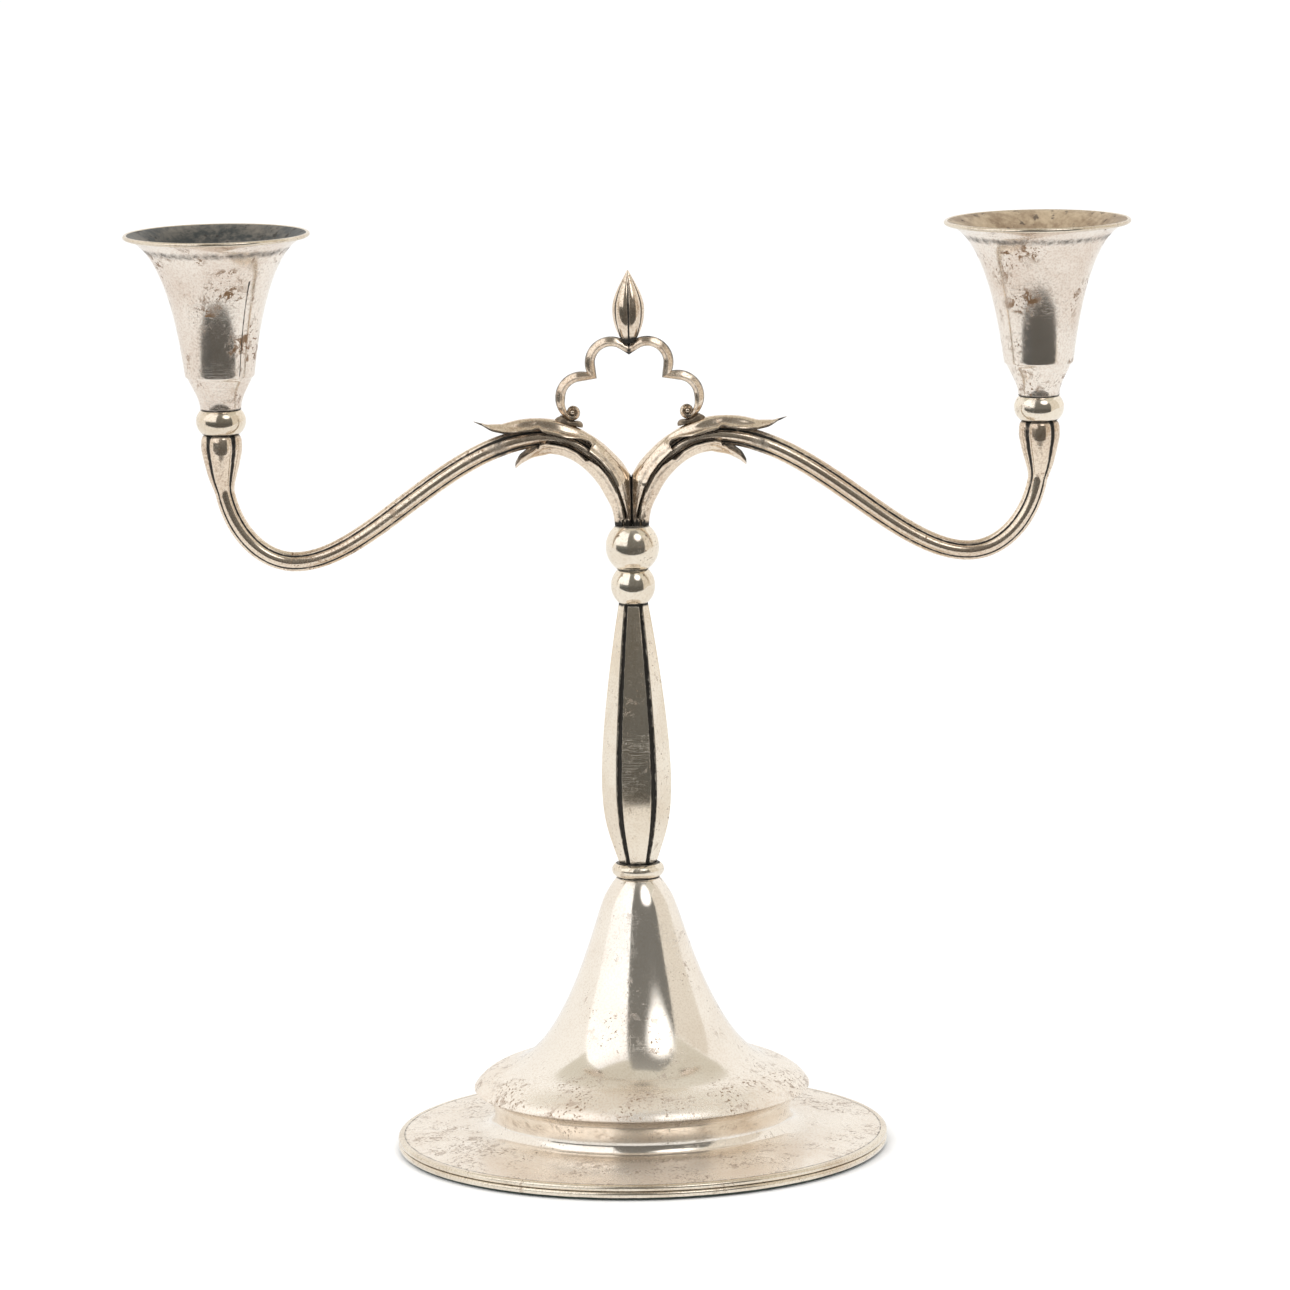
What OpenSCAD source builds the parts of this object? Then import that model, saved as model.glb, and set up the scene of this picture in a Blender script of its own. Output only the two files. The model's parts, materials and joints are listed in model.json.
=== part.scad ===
// Two-light silver candlestick: a weighted round foot, a hexagonal baluster on a tie rod, two S-curved
// arms with leaf sheaths, and a trefoil arch with a bud finial between them.
// Millimetres. Origin on the table under the stem, +Z up, +X towards the right-hand socket.

/* [Foot] */
// Diameter over the reeded rim wire
foot_d = 159; // [132:1:191]
// Diameter of the raised tier at its lip
tier_d = 109; // [92:1:124]
// Diameter at the bottom of the cove under the tier
cove_d = 94.6; // [78:0.2:106]
// Height of the tier's lip above the table
lip_z = 20.1; // [17:0.1:24]
// Height of the foot above the table, up to the collar
foot_h = 89; // [74:1:107]
// Diameter of the cone where its rounded shoulder starts
shoulder_d = 23.4; // [19.5:0.1:28]
// Thickness of the silver sheet of the foot
foot_wall = 0.9; // [0.7:0.05:1.2]
// Height of the reeded rim wire
rim_wire_h = 4.1; // [3.4:0.1:5]
// Thickness of the reeded rim wire, outside the sheet
rim_wire_t = 2; // [1.6:0.1:2.4]
// Thickness of the felt pad
felt_t = 0.9; // [0.7:0.1:1.1]
// Thickness of the closing plate above the felt
plate_t = 0.8; // [0.6:0.1:1]

/* [Stem] */
// Height of the ring collar on top of the foot
collar_h = 4.4; // [3.6:0.1:5.3]
// Diameter of the ring collar
collar_d = 16.9; // [15:0.1:20]
// Diameter of the necks on both sides of the collar
neck_d = 13.2; // [11:0.1:15]
// Height of the hexagonal baluster
baluster_h = 85; // [70:1:102]
// Height of the baluster's belly above its lower end
belly_z = 27; // [22:0.5:33]
// Diameter of the belly across the corners
belly_d = 23.8; // [20:0.1:28]
// Diameter of the baluster's upper end across the corners
baluster_top_d = 10.2; // [9:0.1:12]
// Width of the grooves along the baluster's corners
groove_w = 1.7; // [1.4:0.1:2]
// Depth of the grooves along the baluster's corners
groove_depth = 0.9; // [0.7:0.1:1.1]
// Height of the lower knop
lower_knop_h = 11.2; // [9.4:0.1:13.4]
// Diameter of the lower knop
lower_knop_d = 14.3; // [12.6:0.1:17.2]
// Height of the upper knop
upper_knop_h = 14; // [11.7:0.1:16.8]
// Diameter of the upper knop
upper_knop_d = 17.3; // [15.6:0.1:20.8]

/* [Tie rod] */
// Diameter of the steel tie rod
rod_d = 5; // [4:0.1:6]
// Radial clearance around the tie rod
rod_clear = 0.1; // [0.05:0.01:0.2]
// Height of the washer and the diameter over it
washer = [1.2, 15]; // [1:0.1:20]
// Thickness of the rod's hexagon nut and its width across flats
rod_nut = [4, 8]; // [3:0.1:10]
// Length of the rod inside the upper knop
rod_grip = 10; // [8:0.5:11]

/* [Arms] */
// Distance between the axes of the two sockets
spread = 262; // [218:1:315]
// Thickness of the four-lobed arm
arm_d = 6.5; // [5.4:0.1:7.8]
// Share of the arm's radius that its grooves take
arm_groove = 0.16; // [0.1:0.01:0.2]
// Width of each arm where it stands on the upper knop
root_w = 5.5; // [4.6:0.1:6]
// Distance of the crown of the arm from the stem's axis
crown_x = 27.5; // [23:0.5:33]
// Height of the crown's centreline above the upper knop
crown_rise = 28.9; // [24:0.1:34]
// Distance of the lowest point of the arm from the socket's axis
bowl_in = 23; // [19:0.5:27]
// Depth of the lowest point of the centreline below the top of the upper knop
bowl_drop = 10; // [8.3:0.1:12]
// Height of the arm's upper end above the upper knop
arm_rise = 32; // [27:0.5:38]
// Thickness of a leaf at its thickest
leaf_t = 2.15; // [1.8:0.05:2.5]
// Gap between the arm and the leaves soldered along it
leaf_gap = 0.15; // [0.1:0.05:0.3]

/* [Arch] */
// Width of the bar of the trefoil arch
arch_bar = 3.2; // [2.7:0.1:3.8]
// Middle radius of the four lobes of the arch
lobe_r = 6.85; // [5.8:0.05:7.4]
// Distance of the lower lobes' centres from the stem's axis
low_lobe_x = 15.4; // [14:0.1:17]
// Height of the lower lobes' centres above the crown of the leaves
low_lobe_rise = 7; // [6.6:0.1:9]
// Distance of the upper lobes' centres from the stem's axis
top_lobe_x = 5.75; // [5.2:0.05:6.2]
// Height of the upper lobes' centres above the lower ones
top_lobe_rise = 11.1; // [10.4:0.1:11.8]
// Outer radius of the scrolls at the ends of the arch
scroll_r = 2.9; // [2.5:0.1:3.2]
// Height of the bud finial above the arch
bud_h = 23.4; // [19.5:0.1:28]
// Largest diameter of the bud finial
bud_d = 10.3; // [8.6:0.1:12.3]

/* [Sockets] */
// Height of the bead under each socket
bead_h = 7.9; // [6.6:0.1:9.4]
// Diameter of the bead
bead_d = 16.1; // [14:0.1:19]
// Height of a socket from the bead to the rim
cup_h = 56.5; // [48:0.5:68]
// Diameter over the rim wire
rim_d = 59.8; // [50:0.2:71.8]
// Diameter of the straight bore that holds the candle
candle_d = 20.6; // [18:0.1:24.8]
// Length of the straight bore
candle_len = 14; // [11:0.5:17]
// Wall of the socket
cup_wall = 0.9; // [0.7:0.05:1.2]
// Diameter of the round wire along the rim
rim_wire_d = 1.4; // [1.2:0.1:1.7]
// Diameter of the stud that fastens the socket
stud_d = 4; // [3.4:0.1:4.8]
// Radial clearance around the stud
stud_clear = 0.05; // [0.02:0.01:0.1]
// Length of the stud inside the arm
stud_grip = 10; // [8:0.5:12]
// Diameter of the socket's round nut
nut_d = 8.4; // [7:0.1:9]
// Thickness of the socket's round nut
nut_t = 2.5; // [2:0.1:3]

/* [Hidden] */
$fn = 64;

silver = [0.78, 0.75, 0.70];
dark_silver = [0.55, 0.52, 0.48];
steel = [0.45, 0.46, 0.48];

// Radii
foot_r = foot_d / 2;
sheet_r = foot_r - rim_wire_t;
rod_hole_r = rod_d / 2 + rod_clear;
stud_hole_r = stud_d / 2 + stud_clear;
candle_r = candle_d / 2;
neck_r = neck_d / 2;
arm_r = arm_d / 2;
cup_x = spread / 2;

// Heights, from the table up
fill_z = felt_t + plate_t;
foot_edge_z = felt_t + rim_wire_h;
collar_z = foot_h;
baluster_z = collar_z + collar_h;
lower_knop_z = baluster_z + baluster_h;
upper_knop_z = lower_knop_z + lower_knop_h;
branch_z = upper_knop_z + upper_knop_h;
bead_z = branch_z + arm_rise;
cup_z = bead_z + bead_h;
rim_z = cup_z + cup_h;

// Tie rod and its nut, in a pocket under the filling
rod_end_gap = 0.5;
nut_pocket_h = washer[0] + rod_nut[0] + 1.5;
washer_z = fill_z + nut_pocket_h - washer[0];
rod_nut_z = washer_z - rod_nut[0];
rod_z = fill_z + rod_end_gap;
rod_top_z = upper_knop_z + rod_grip;

// Curves
function bezier(a, b, c, d, t) =
    pow(1 - t, 3) * a + 3 * t * pow(1 - t, 2) * b + 3 * t * t * (1 - t) * c + pow(t, 3) * d;
function bezier_slope(a, b, c, d, t) =
    3 * (pow(1 - t, 2) * (b - a) + 2 * t * (1 - t) * (c - b) + t * t * (d - c));
// Points of a curve without its last one, so that curves join end to end
function curve(p, steps) = [for (i = [0 : steps - 1]) bezier(p[0], p[1], p[2], p[3], i / steps)];
function unit(v) = v / norm(v);
function left_of(v) = [-v[1], v[0]];
function reverse(list) = [for (i = [len(list) - 1 : -1 : 0]) list[i]];
// Profile of a bulging ring: an arc from r_end at z through r_mid half-way up
function bulge(r_mid, r_end, z, h, steps) =
    let (rise = r_mid - r_end, big = (h * h / 4 + rise * rise) / (2 * rise), half = asin(h / 2 / big))
    [for (i = [0 : steps]) let (a = -half + 2 * half * i / steps)
        [r_mid - big + big * cos(a), z + h / 2 + big * sin(a)]];
// A profile moved to its left by t, with mitred corners
function moved_left(p, t) = [for (i = [0 : len(p) - 1])
    let (a = left_of(unit(p[min(i + 1, len(p) - 1)] - p[min(i, len(p) - 2)])),
         b = left_of(unit(p[max(i, 1)] - p[max(i - 1, 0)])))
    p[i] + t * (a + b) / (1 + a * b)];

// Outside of the foot from the bottom edge to the rod hole
shoulder_z = foot_h - 8;
cone_z = lip_z + 7.1;
cone_r = tier_d / 2 - 11.2;
foot_outside = concat(
    [[sheet_r, felt_t], [sheet_r, foot_edge_z]],
    curve([[cove_d / 2, foot_edge_z + 2], [cove_d / 2 - 0.8, foot_edge_z + 8],
           [tier_d / 2 - 5, lip_z - 1.6], [tier_d / 2, lip_z]], 8),
    curve([[tier_d / 2, lip_z], [tier_d / 2 - 1.6, lip_z + 3.4],
           [cone_r + 4.5, cone_z - 1.1], [cone_r, cone_z]], 7),
    curve([[cone_r, cone_z], [cone_r - 18.1, cone_z + 4.2],
           [shoulder_d / 2 + 3.5, shoulder_z - 9], [shoulder_d / 2, shoulder_z]], 18),
    curve([[shoulder_d / 2, shoulder_z], [shoulder_d / 2 - 1.2, shoulder_z + 3],
           [neck_r + 1.6, foot_h - 1.6], [neck_r, foot_h]], 6),
    [[neck_r, foot_h], [rod_hole_r, foot_h]]);
foot_inside = moved_left(foot_outside, foot_wall);

// Corner radius of the baluster, from its lower end to its upper end
baluster_corner = concat(
    curve([[neck_r - 0.1, baluster_z], [neck_r + 3.1, baluster_z + 9.5],
           [belly_d / 2, baluster_z + belly_z - 13.5], [belly_d / 2, baluster_z + belly_z]], 9),
    curve([[belly_d / 2, baluster_z + belly_z], [belly_d / 2 + 0.1, baluster_z + belly_z + 15.7],
           [baluster_top_d / 2 + 2.4, lower_knop_z - 12.7], [baluster_top_d / 2, lower_knop_z]], 14),
    [[baluster_top_d / 2, lower_knop_z]]);

// Centreline of the right arm in X and Z: up from the knop, over the crown, down to the bowl, up to the bead
crown = [crown_x, branch_z + crown_rise];
bowl = [cup_x - bowl_in, branch_z - bowl_drop];
root = [root_w / 2, branch_z];
arm_top = [cup_x, bead_z];
calyx_h = 12;
arm_curves = [
    [root, root + [0, 16], crown - [13, 0], crown],
    [crown, crown + [31, 0], bowl - [24, 0], bowl],
    [bowl, bowl + [bowl_in - 10, 0], arm_top - [0, calyx_h + 16], arm_top - [0, calyx_h]],
    [arm_top - [0, calyx_h], arm_top - [0, calyx_h * 2 / 3], arm_top - [0, calyx_h / 3], arm_top]
];
function arm_point(u) = let (i = min(floor(u), 3), c = arm_curves[i]) bezier(c[0], c[1], c[2], c[3], u - i);
function arm_up(u) = let (i = min(floor(u), 3), c = arm_curves[i])
    left_of(unit(bezier_slope(c[0], c[1], c[2], c[3], u - i)));
// Radius over the lobes: slender between the leaves, full where the arm leaves them, a little thinner in
// the bowl, swelling in the calyx at the end
calyx_r = [[0, 6.15], [1.2, 6.35], [3.5, 6.6], [6.1, 6.45], [10.6, 5.5], [14.6, 4.43], [19, arm_r * 0.97]];
function lobed_r(u) = u > 2
    ? lookup(bead_z - arm_point(u)[1], calyx_r)
    : arm_r * lookup(u, [[0, 0.4], [0.25, 0.58], [0.5, 0.7], [0.8, 0.82], [1, 0.95], [1.15, 1.03], [1.5, 1.05],
        [2, 0.97]]);
function lobed_ring(u) = let (c = arm_point(u), n = arm_up(u)) [for (a = [345 : -15 : 0])
    let (r = lobed_r(u) * (1 - arm_groove * pow(abs(sin(2 * a)), 4)), m = c + n * r * cos(a))
    [m[0], r * sin(a), m[1]]];
arm_stations = concat([for (i = [0 : 11]) i / 12], [for (i = [0 : 11]) 1 + i / 12],
    [for (i = [0 : 13]) 2 + i / 14], [for (i = [0 : 7]) 3 + i / 7]);

// Leaves: crescents that ride on the arm. Each row is the place along the arm, the thickness outside the
// gap as a share of leaf_t, the lift of the underside off the arm, and half the angle wrapped
upper_leaf = [[0, 0.6, 0, 80], [0.1, 0.75, 0, 80], [0.2, 1.25, 0, 80], [0.3, 1.9, 0, 78], [0.4, 1.7, 0, 77],
    [0.5, 1.35, 0, 76], [0.7, 0.93, 0, 75], [1, 1.13, 0, 72], [1.08, 1.46, 0, 62], [1.13, 1.85, 0, 48],
    [1.17, 1.7, 1.5, 26], [1.205, 0.1, 6.1, 4]];
lower_leaf = [[0, 0.6, 0, 80], [0.12, 0.64, 0, 80], [0.25, 0.96, 0, 78], [0.5, 1.08, 0, 72], [0.7, 1.05, 0, 66],
    [0.95, 1.02, 0, 56], [1.05, 1.38, 0, 36], [1.1, 1.86, 0, 18], [1.13, 2.3, 0, 3]];
leaf_points = 8;
function column(table, k) = [for (row = table) [row[0], row[k]]];
function leaf_in(leaf, u) = lobed_r(u) + leaf_gap + lookup(u, column(leaf, 2));
function leaf_out(leaf, u) = leaf_in(leaf, u) + leaf_t * lookup(u, column(leaf, 1));
// One crescent, side 1 above the arm and -1 below it, kept on its own side of the stem's middle plane
function leaf_ring(leaf, side, u) =
    let (c = arm_point(u), n = side * arm_up(u), half = lookup(u, column(leaf, 3)),
         across = [for (i = [0 : leaf_points]) half * (1 - 2 * i / leaf_points)],
         rays = concat([for (a = across) [a, leaf_out(leaf, u)]], [for (a = reverse(across)) [a, leaf_in(leaf, u)]]))
    [for (ray = rays) let (m = c + n * ray[1] * cos(ray[0])) [max(m[0], 0), side * ray[1] * sin(ray[0]), m[1]]];
function leaf_stations(leaf, steps) = [for (i = [0 : steps]) leaf[len(leaf) - 1][0] * i / steps];

// Trefoil arch, in X and Z, for the right half
crown_top_z = crown[1] + leaf_out(upper_leaf, 1);
low_lobe = [low_lobe_x, crown_top_z + low_lobe_rise];
top_lobe = low_lobe + [top_lobe_x - low_lobe_x, top_lobe_rise];
lobe_out_r = lobe_r + arch_bar / 2;
lobe_to_lobe = atan2(top_lobe[1] - low_lobe[1], top_lobe[0] - low_lobe[0]);
scroll_angle = -57;
scroll = low_lobe + (lobe_out_r - scroll_r) * [cos(scroll_angle), sin(scroll_angle)];
scroll_bar = 1.5;
// The lobes meet in pointed cusps: one over the opening, on the middle plane, and one on each side
cusp_angle = 156;
lobe_in_r = lobe_r - arch_bar / 2;
side_cusp = [(low_lobe[0] + top_lobe[0]) / 2 - 0.15, (low_lobe[1] + top_lobe[1]) / 2 + 0.55];
arch_top_z = top_lobe[1] + sqrt(pow(lobe_out_r, 2) - pow(top_lobe[0], 2));
arch_foot_w = 3;

// Socket, heights above cup_z
nut_seat = 7;
candle_floor = nut_seat + nut_t + 1.9;
cup_side = concat(
    curve([[candle_r + cup_wall, candle_floor - 0.4], [candle_r + cup_wall + 1.9, candle_floor + 15.7],
           [candle_r + cup_wall + 5.55, cup_h - 12.9], [candle_r + cup_wall + 12.05, cup_h - 5.1]], 14),
    curve([[candle_r + cup_wall + 12.05, cup_h - 5.1], [candle_r + cup_wall + 13.9, cup_h - 2.9],
           [rim_d / 2 - 2.6, cup_h - 1.5], [rim_d / 2 - rim_wire_d / 2, cup_h - 1]], 6),
    [[rim_d / 2 - rim_wire_d / 2, cup_h - 1]]);
lead_in = 4;
cup_lining = [for (p = moved_left(cup_side, cup_wall)) if (p[1] > candle_floor + candle_len + lead_in) p];
cup_foot_r = 6.6;

// Closed solid through rings of equally many points
module loft(rings) {
    m = len(rings[0]);
    last = len(rings) - 1;
    polyhedron(
        points = [for (ring = rings) each ring],
        faces = concat(
            [[for (j = [0 : m - 1]) j]],
            [for (i = [0 : last - 1], j = [0 : m - 1]) [i * m + j, (i + 1) * m + j, i * m + (j + 1) % m]],
            [for (i = [0 : last - 1], j = [0 : m - 1])
                [i * m + (j + 1) % m, (i + 1) * m + j, (i + 1) * m + (j + 1) % m]],
            [[for (j = [m - 1 : -1 : 0]) last * m + j]]),
        convexity = 6);
}

module on_left() mirror([1, 0, 0]) children();

// A profile given in X and Z, extruded along Y about the middle plane
module slab(points, w) rotate([90, 0, 0]) linear_extrude(w, center = true) polygon(points);

// Round bar or bore along Y through a point in X and Z
module y_cylinder(at, r, w) translate([at[0], 0, at[1]]) rotate([90, 0, 0]) cylinder(r = r, h = w, center = true);

module felt_pad() color([0.25, 0.30, 0.26]) cylinder(r = sheet_r + 0.6, h = felt_t);

module closing_plate() color(dark_silver) translate([0, 0, felt_t]) cylinder(r = sheet_r - foot_wall, h = plate_t);

module foot_shell() color(silver) rotate_extrude() polygon(concat(foot_outside, reverse(foot_inside)));

// Two reeds with a groove between them
module foot_rim_wire() {
    reed_h = rim_wire_h / 2;
    edge = rim_wire_t * 0.55;
    color(silver) rotate_extrude() polygon(concat(
        [[sheet_r, felt_t]],
        bulge(foot_r, sheet_r + edge, felt_t, reed_h, 5),
        bulge(foot_r, sheet_r + edge, felt_t + reed_h, reed_h, 5),
        [[sheet_r, foot_edge_z]]));
}

module foot_filling() {
    top = len(foot_inside) - 1;
    color([0.45, 0.42, 0.38]) difference() {
        rotate_extrude() polygon(concat(
            [[rod_hole_r, fill_z], [foot_inside[0][0], fill_z]],
            [for (i = [1 : top]) foot_inside[i]]));
        translate([0, 0, fill_z]) cylinder(d = washer[1] + 1, h = nut_pocket_h);
    }
}

module tie_rod() color(steel) translate([0, 0, rod_z]) cylinder(d = rod_d, h = rod_top_z - rod_z);

module tie_rod_washer() color(steel) translate([0, 0, washer_z]) difference() {
    cylinder(d = washer[1], h = washer[0]);
    translate([0, 0, -1]) cylinder(r = rod_hole_r, h = washer[0] + 2);
}

module tie_rod_nut() color(steel) translate([0, 0, rod_nut_z]) difference() {
    cylinder(d = rod_nut[1] / cos(30), h = rod_nut[0], $fn = 6);
    translate([0, 0, -1]) cylinder(d = rod_d, h = rod_nut[0] + 2);
}

// Turned piece with a bulging side and the rod's bore through it
module turned_ring(r_mid, r_end, z, h, bore_r) color(silver) rotate_extrude()
    polygon(concat([[bore_r, z]], bulge(r_mid, r_end, z, h, 14), [[bore_r, z + h]]));

module stem_collar() turned_ring(collar_d / 2, neck_r + 0.3, collar_z, collar_h, rod_hole_r);

module baluster() {
    flat = cos(30);
    side = [for (p = baluster_corner) [p[0] * flat, p[1]]];
    color(silver) difference() {
        intersection_for(a = [0, 60, 120]) rotate(a + 90)
            slab(concat(side, reverse([for (p = side) [-p[0], p[1]]])), belly_d * 1.3);
        for (a = [0 : 60 : 300]) rotate(a) slab(concat(
            [for (p = baluster_corner) p - [groove_depth, 0]],
            [[belly_d, lower_knop_z], [belly_d, baluster_z]]), groove_w);
        translate([0, 0, baluster_z - 1]) cylinder(r = rod_hole_r, h = baluster_h + 2);
    }
}

module lower_knop()
    turned_ring(lower_knop_d / 2, lower_knop_d / 2 - 2.55, lower_knop_z, lower_knop_h, rod_hole_r);

module upper_knop() color(silver) difference() {
    rotate_extrude() polygon(concat([[0, upper_knop_z]],
        bulge(upper_knop_d / 2, upper_knop_d / 2 - 3.45, upper_knop_z, upper_knop_h, 16), [[0, branch_z]]));
    translate([0, 0, upper_knop_z - 1]) cylinder(r = rod_hole_r, h = rod_grip + 1.5);
}

// Right arm, with a hole in its upper end for the stud
module arm() color(silver) difference() {
    loft([for (u = arm_stations) lobed_ring(u)]);
    translate([cup_x, 0, bead_z - stud_grip - 0.5]) cylinder(r = stud_hole_r, h = stud_grip + 1);
}

module upper_leaf() color(silver) loft([for (u = leaf_stations(upper_leaf, 22)) leaf_ring(upper_leaf, 1, u)]);

module lower_leaf() color(silver) loft([for (u = leaf_stations(lower_leaf, 20)) leaf_ring(lower_leaf, -1, u)]);

// Stretch of ridged bar around a centre, from one angle to another, kept to the right of the middle plane
module bar_arc(at, r, from, to, w) {
    half = w / 2;
    translate([at[0], 0, at[1]]) rotate([90, 0, 0]) rotate([0, 0, from]) rotate_extrude(angle = to - from)
        polygon([for (p = [[-1, 0.55], [0, 1], [1, 0.55], [1, -0.55], [0, -1], [-1, -0.55]]) [r + p[0] * half, p[1] * half]]);
}

module half_arch() {
    difference() {
        union() {
            intersection() {
                bar_arc(top_lobe, lobe_r, lobe_to_lobe - 180, cusp_angle, arch_bar);
                translate([0, -arch_bar, 0]) cube([spread, 2 * arch_bar, rim_z]);
            }
            bar_arc(low_lobe, lobe_r, scroll_angle, lobe_to_lobe, arch_bar);
        }
        slab([[0, low_lobe[1]], [0, top_lobe[1] + 2.5], top_lobe + lobe_in_r * [cos(125), sin(125)],
            top_lobe, top_lobe + [lobe_in_r, 0], side_cusp, low_lobe + [0, lobe_in_r], low_lobe], 2 * arch_bar);
    }
    bar_arc(scroll, scroll_r - scroll_bar / 2, scroll_angle - 300, scroll_angle, scroll_bar);
    y_cylinder(scroll + [0.35, 0.3], scroll_r - scroll_bar - 0.1, arch_bar * 0.8);
}

module trefoil_arch() color(silver) {
    half_arch();
    on_left() half_arch();
}

// Solder foot between the scroll and the leaf
module arch_foot() color(dark_silver) difference() {
    slab(concat(
        [for (u = [0.7 : 0.04 : 0.9]) arm_point(u) + arm_up(u) * leaf_out(upper_leaf, u)],
        [low_lobe + [7.4, -6.4], scroll + [0, -scroll_r / 2], scroll + [-0.8, -scroll_r]]), arch_foot_w);
    y_cylinder(scroll, scroll_r, 2 * arch_foot_w);
    y_cylinder(low_lobe, lobe_out_r, 2 * arch_foot_w);
}

// Six-lobed pointed bud that saddles the top of the arch
module bud_finial() {
    z = arch_top_z + 2.2;
    tip_z = arch_top_z + bud_h;
    wide_z = z + 0.4 * (tip_z - z);
    side = concat(
        curve([[3, z], [4.3, z + 2.8], [bud_d / 2, wide_z - 3.6], [bud_d / 2, wide_z]], 8),
        curve([[bud_d / 2, wide_z], [bud_d / 2, wide_z + 4.4], [bud_d / 4, tip_z - 4.6], [0.3, tip_z]], 10),
        [[0.3, tip_z]]);
    color(silver) difference() {
        rotate_extrude() polygon(concat([[0, arch_top_z + 0.1], [2, arch_top_z + 0.1], [2, z]], side, [[0, tip_z]]));
        for (a = [30 : 60 : 330]) rotate(a) slab(concat(
            [for (p = side) [max(p[0] - 0.55, 0.25), p[1]]], [[bud_d, tip_z], [bud_d, z]]), 0.6);
        for (x = [-top_lobe[0], top_lobe[0]]) y_cylinder([x, top_lobe[1]], lobe_out_r, 4 * arch_bar);
    }
}

module bead() translate([cup_x, 0, 0])
    turned_ring(bead_d / 2, bead_d / 2 - 1.9, bead_z, bead_h, stud_hole_r);

module stud() color(steel) translate([cup_x, 0, bead_z - stud_grip])
    cylinder(d = stud_d, h = stud_grip + bead_h + nut_seat + nut_t + 0.5);

module stud_nut() color(dark_silver) translate([cup_x, 0, cup_z + nut_seat]) difference() {
    cylinder(d = nut_d, h = nut_t);
    translate([0, 0, -1]) cylinder(d = stud_d, h = nut_t + 2);
}

module rim_wire() color(silver) translate([cup_x, 0, rim_z - rim_wire_d / 2])
    rotate_extrude() translate([rim_d / 2 - rim_wire_d / 2, 0]) circle(d = rim_wire_d);

// Flared socket: small foot, pocket for the nut, straight bore for the candle, lining up to the rim
module cup() color(silver) difference() {
    translate([cup_x, 0, cup_z]) rotate_extrude() polygon(concat(
        [[stud_hole_r, 0]],
        curve([[cup_foot_r, 0], [cup_foot_r + 0.2, 4], [candle_r - 1.6, 6.2], [candle_r - 0.1, candle_floor - 1.7]], 7),
        [[candle_r - 0.1, candle_floor - 1.7]],
        cup_side,
        reverse(cup_lining),
        [[candle_r, candle_floor + candle_len], [candle_r, candle_floor],
         [nut_d / 2 + 0.4, candle_floor], [nut_d / 2 + 0.4, nut_seat], [stud_hole_r, nut_seat]]));
    rim_wire();
}

felt_pad();
closing_plate();
foot_shell();
foot_rim_wire();
foot_filling();
tie_rod();
tie_rod_washer();
tie_rod_nut();
stem_collar();
baluster();
lower_knop();
upper_knop();
on_left() arm();  // left_arm
arm();  // right_arm
on_left() upper_leaf();  // left_upper_leaf
upper_leaf();  // right_upper_leaf
on_left() lower_leaf();  // left_lower_leaf
lower_leaf();  // right_lower_leaf
trefoil_arch();
on_left() arch_foot();  // left_arch_foot
arch_foot();  // right_arch_foot
bud_finial();
on_left() bead();  // left_bead
bead();  // right_bead
on_left() stud();  // left_stud
stud();  // right_stud
on_left() stud_nut();  // left_stud_nut
stud_nut();  // right_stud_nut
on_left() cup();  // left_cup
cup();  // right_cup
on_left() rim_wire();  // left_rim_wire
rim_wire();  // right_rim_wire
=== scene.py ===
"""Looks of the two-light silver candlestick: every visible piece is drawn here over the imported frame."""
import json
import math

import bpy
import numpy as np
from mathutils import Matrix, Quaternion, Vector


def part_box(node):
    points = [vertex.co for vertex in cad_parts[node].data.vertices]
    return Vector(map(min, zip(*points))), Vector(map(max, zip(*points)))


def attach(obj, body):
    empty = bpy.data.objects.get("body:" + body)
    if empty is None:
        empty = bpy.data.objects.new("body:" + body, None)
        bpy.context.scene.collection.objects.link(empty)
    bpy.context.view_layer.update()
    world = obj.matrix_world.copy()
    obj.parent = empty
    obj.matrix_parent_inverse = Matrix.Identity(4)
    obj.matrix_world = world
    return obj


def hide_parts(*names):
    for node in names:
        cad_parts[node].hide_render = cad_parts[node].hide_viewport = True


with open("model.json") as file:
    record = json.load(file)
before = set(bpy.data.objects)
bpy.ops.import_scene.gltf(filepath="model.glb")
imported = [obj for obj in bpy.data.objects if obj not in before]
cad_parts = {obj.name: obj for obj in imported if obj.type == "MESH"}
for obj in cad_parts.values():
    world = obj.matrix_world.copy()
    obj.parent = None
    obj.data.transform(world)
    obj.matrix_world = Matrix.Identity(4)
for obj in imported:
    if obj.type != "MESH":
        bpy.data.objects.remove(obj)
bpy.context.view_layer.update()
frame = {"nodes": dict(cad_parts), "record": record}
MM = 0.001


# ---------------------------------------------------------------- sizes

def box(node):
    """Lowest and highest corner of a node, in millimetres."""
    low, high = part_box(node)
    return [c / MM for c in low], [c / MM for c in high]


def level(node):
    """Bottom and top of a node, in millimetres above the table."""
    low, high = box(node)
    return low[2], high[2]


FELT_TOP = level("felt_pad")[1]
FOOT_TOP = level("foot_shell")[1]
SHEET_R = box("foot_shell")[1][0]
BALUSTER = level("baluster")
BRANCH = level("upper_knop")[1]
BEAD_BASE = level("right_bead")[0]
CUP_BASE = level("right_cup")[0]
RIM = level("right_rim_wire")[1]
RIM_LEFT, RIM_RIGHT = (corner[0] for corner in box("right_rim_wire"))
CUP_X = (RIM_LEFT + RIM_RIGHT) / 2
RIM_R = (RIM_RIGHT - RIM_LEFT) / 2
BORE_R = frame["record"]["mounts"][0]["dims"]["r_mm"]
NECK_R = 6.6       # top of the foot's sheet, and the foot of each socket
TIER_R = 54.5      # lip of the foot's upper tier
LIP_Z = 20.1
ARM_R = 3.25       # over an arm's lobes
FOOT_WALL = 0.8
SOCKET_WALL = 0.9
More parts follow.
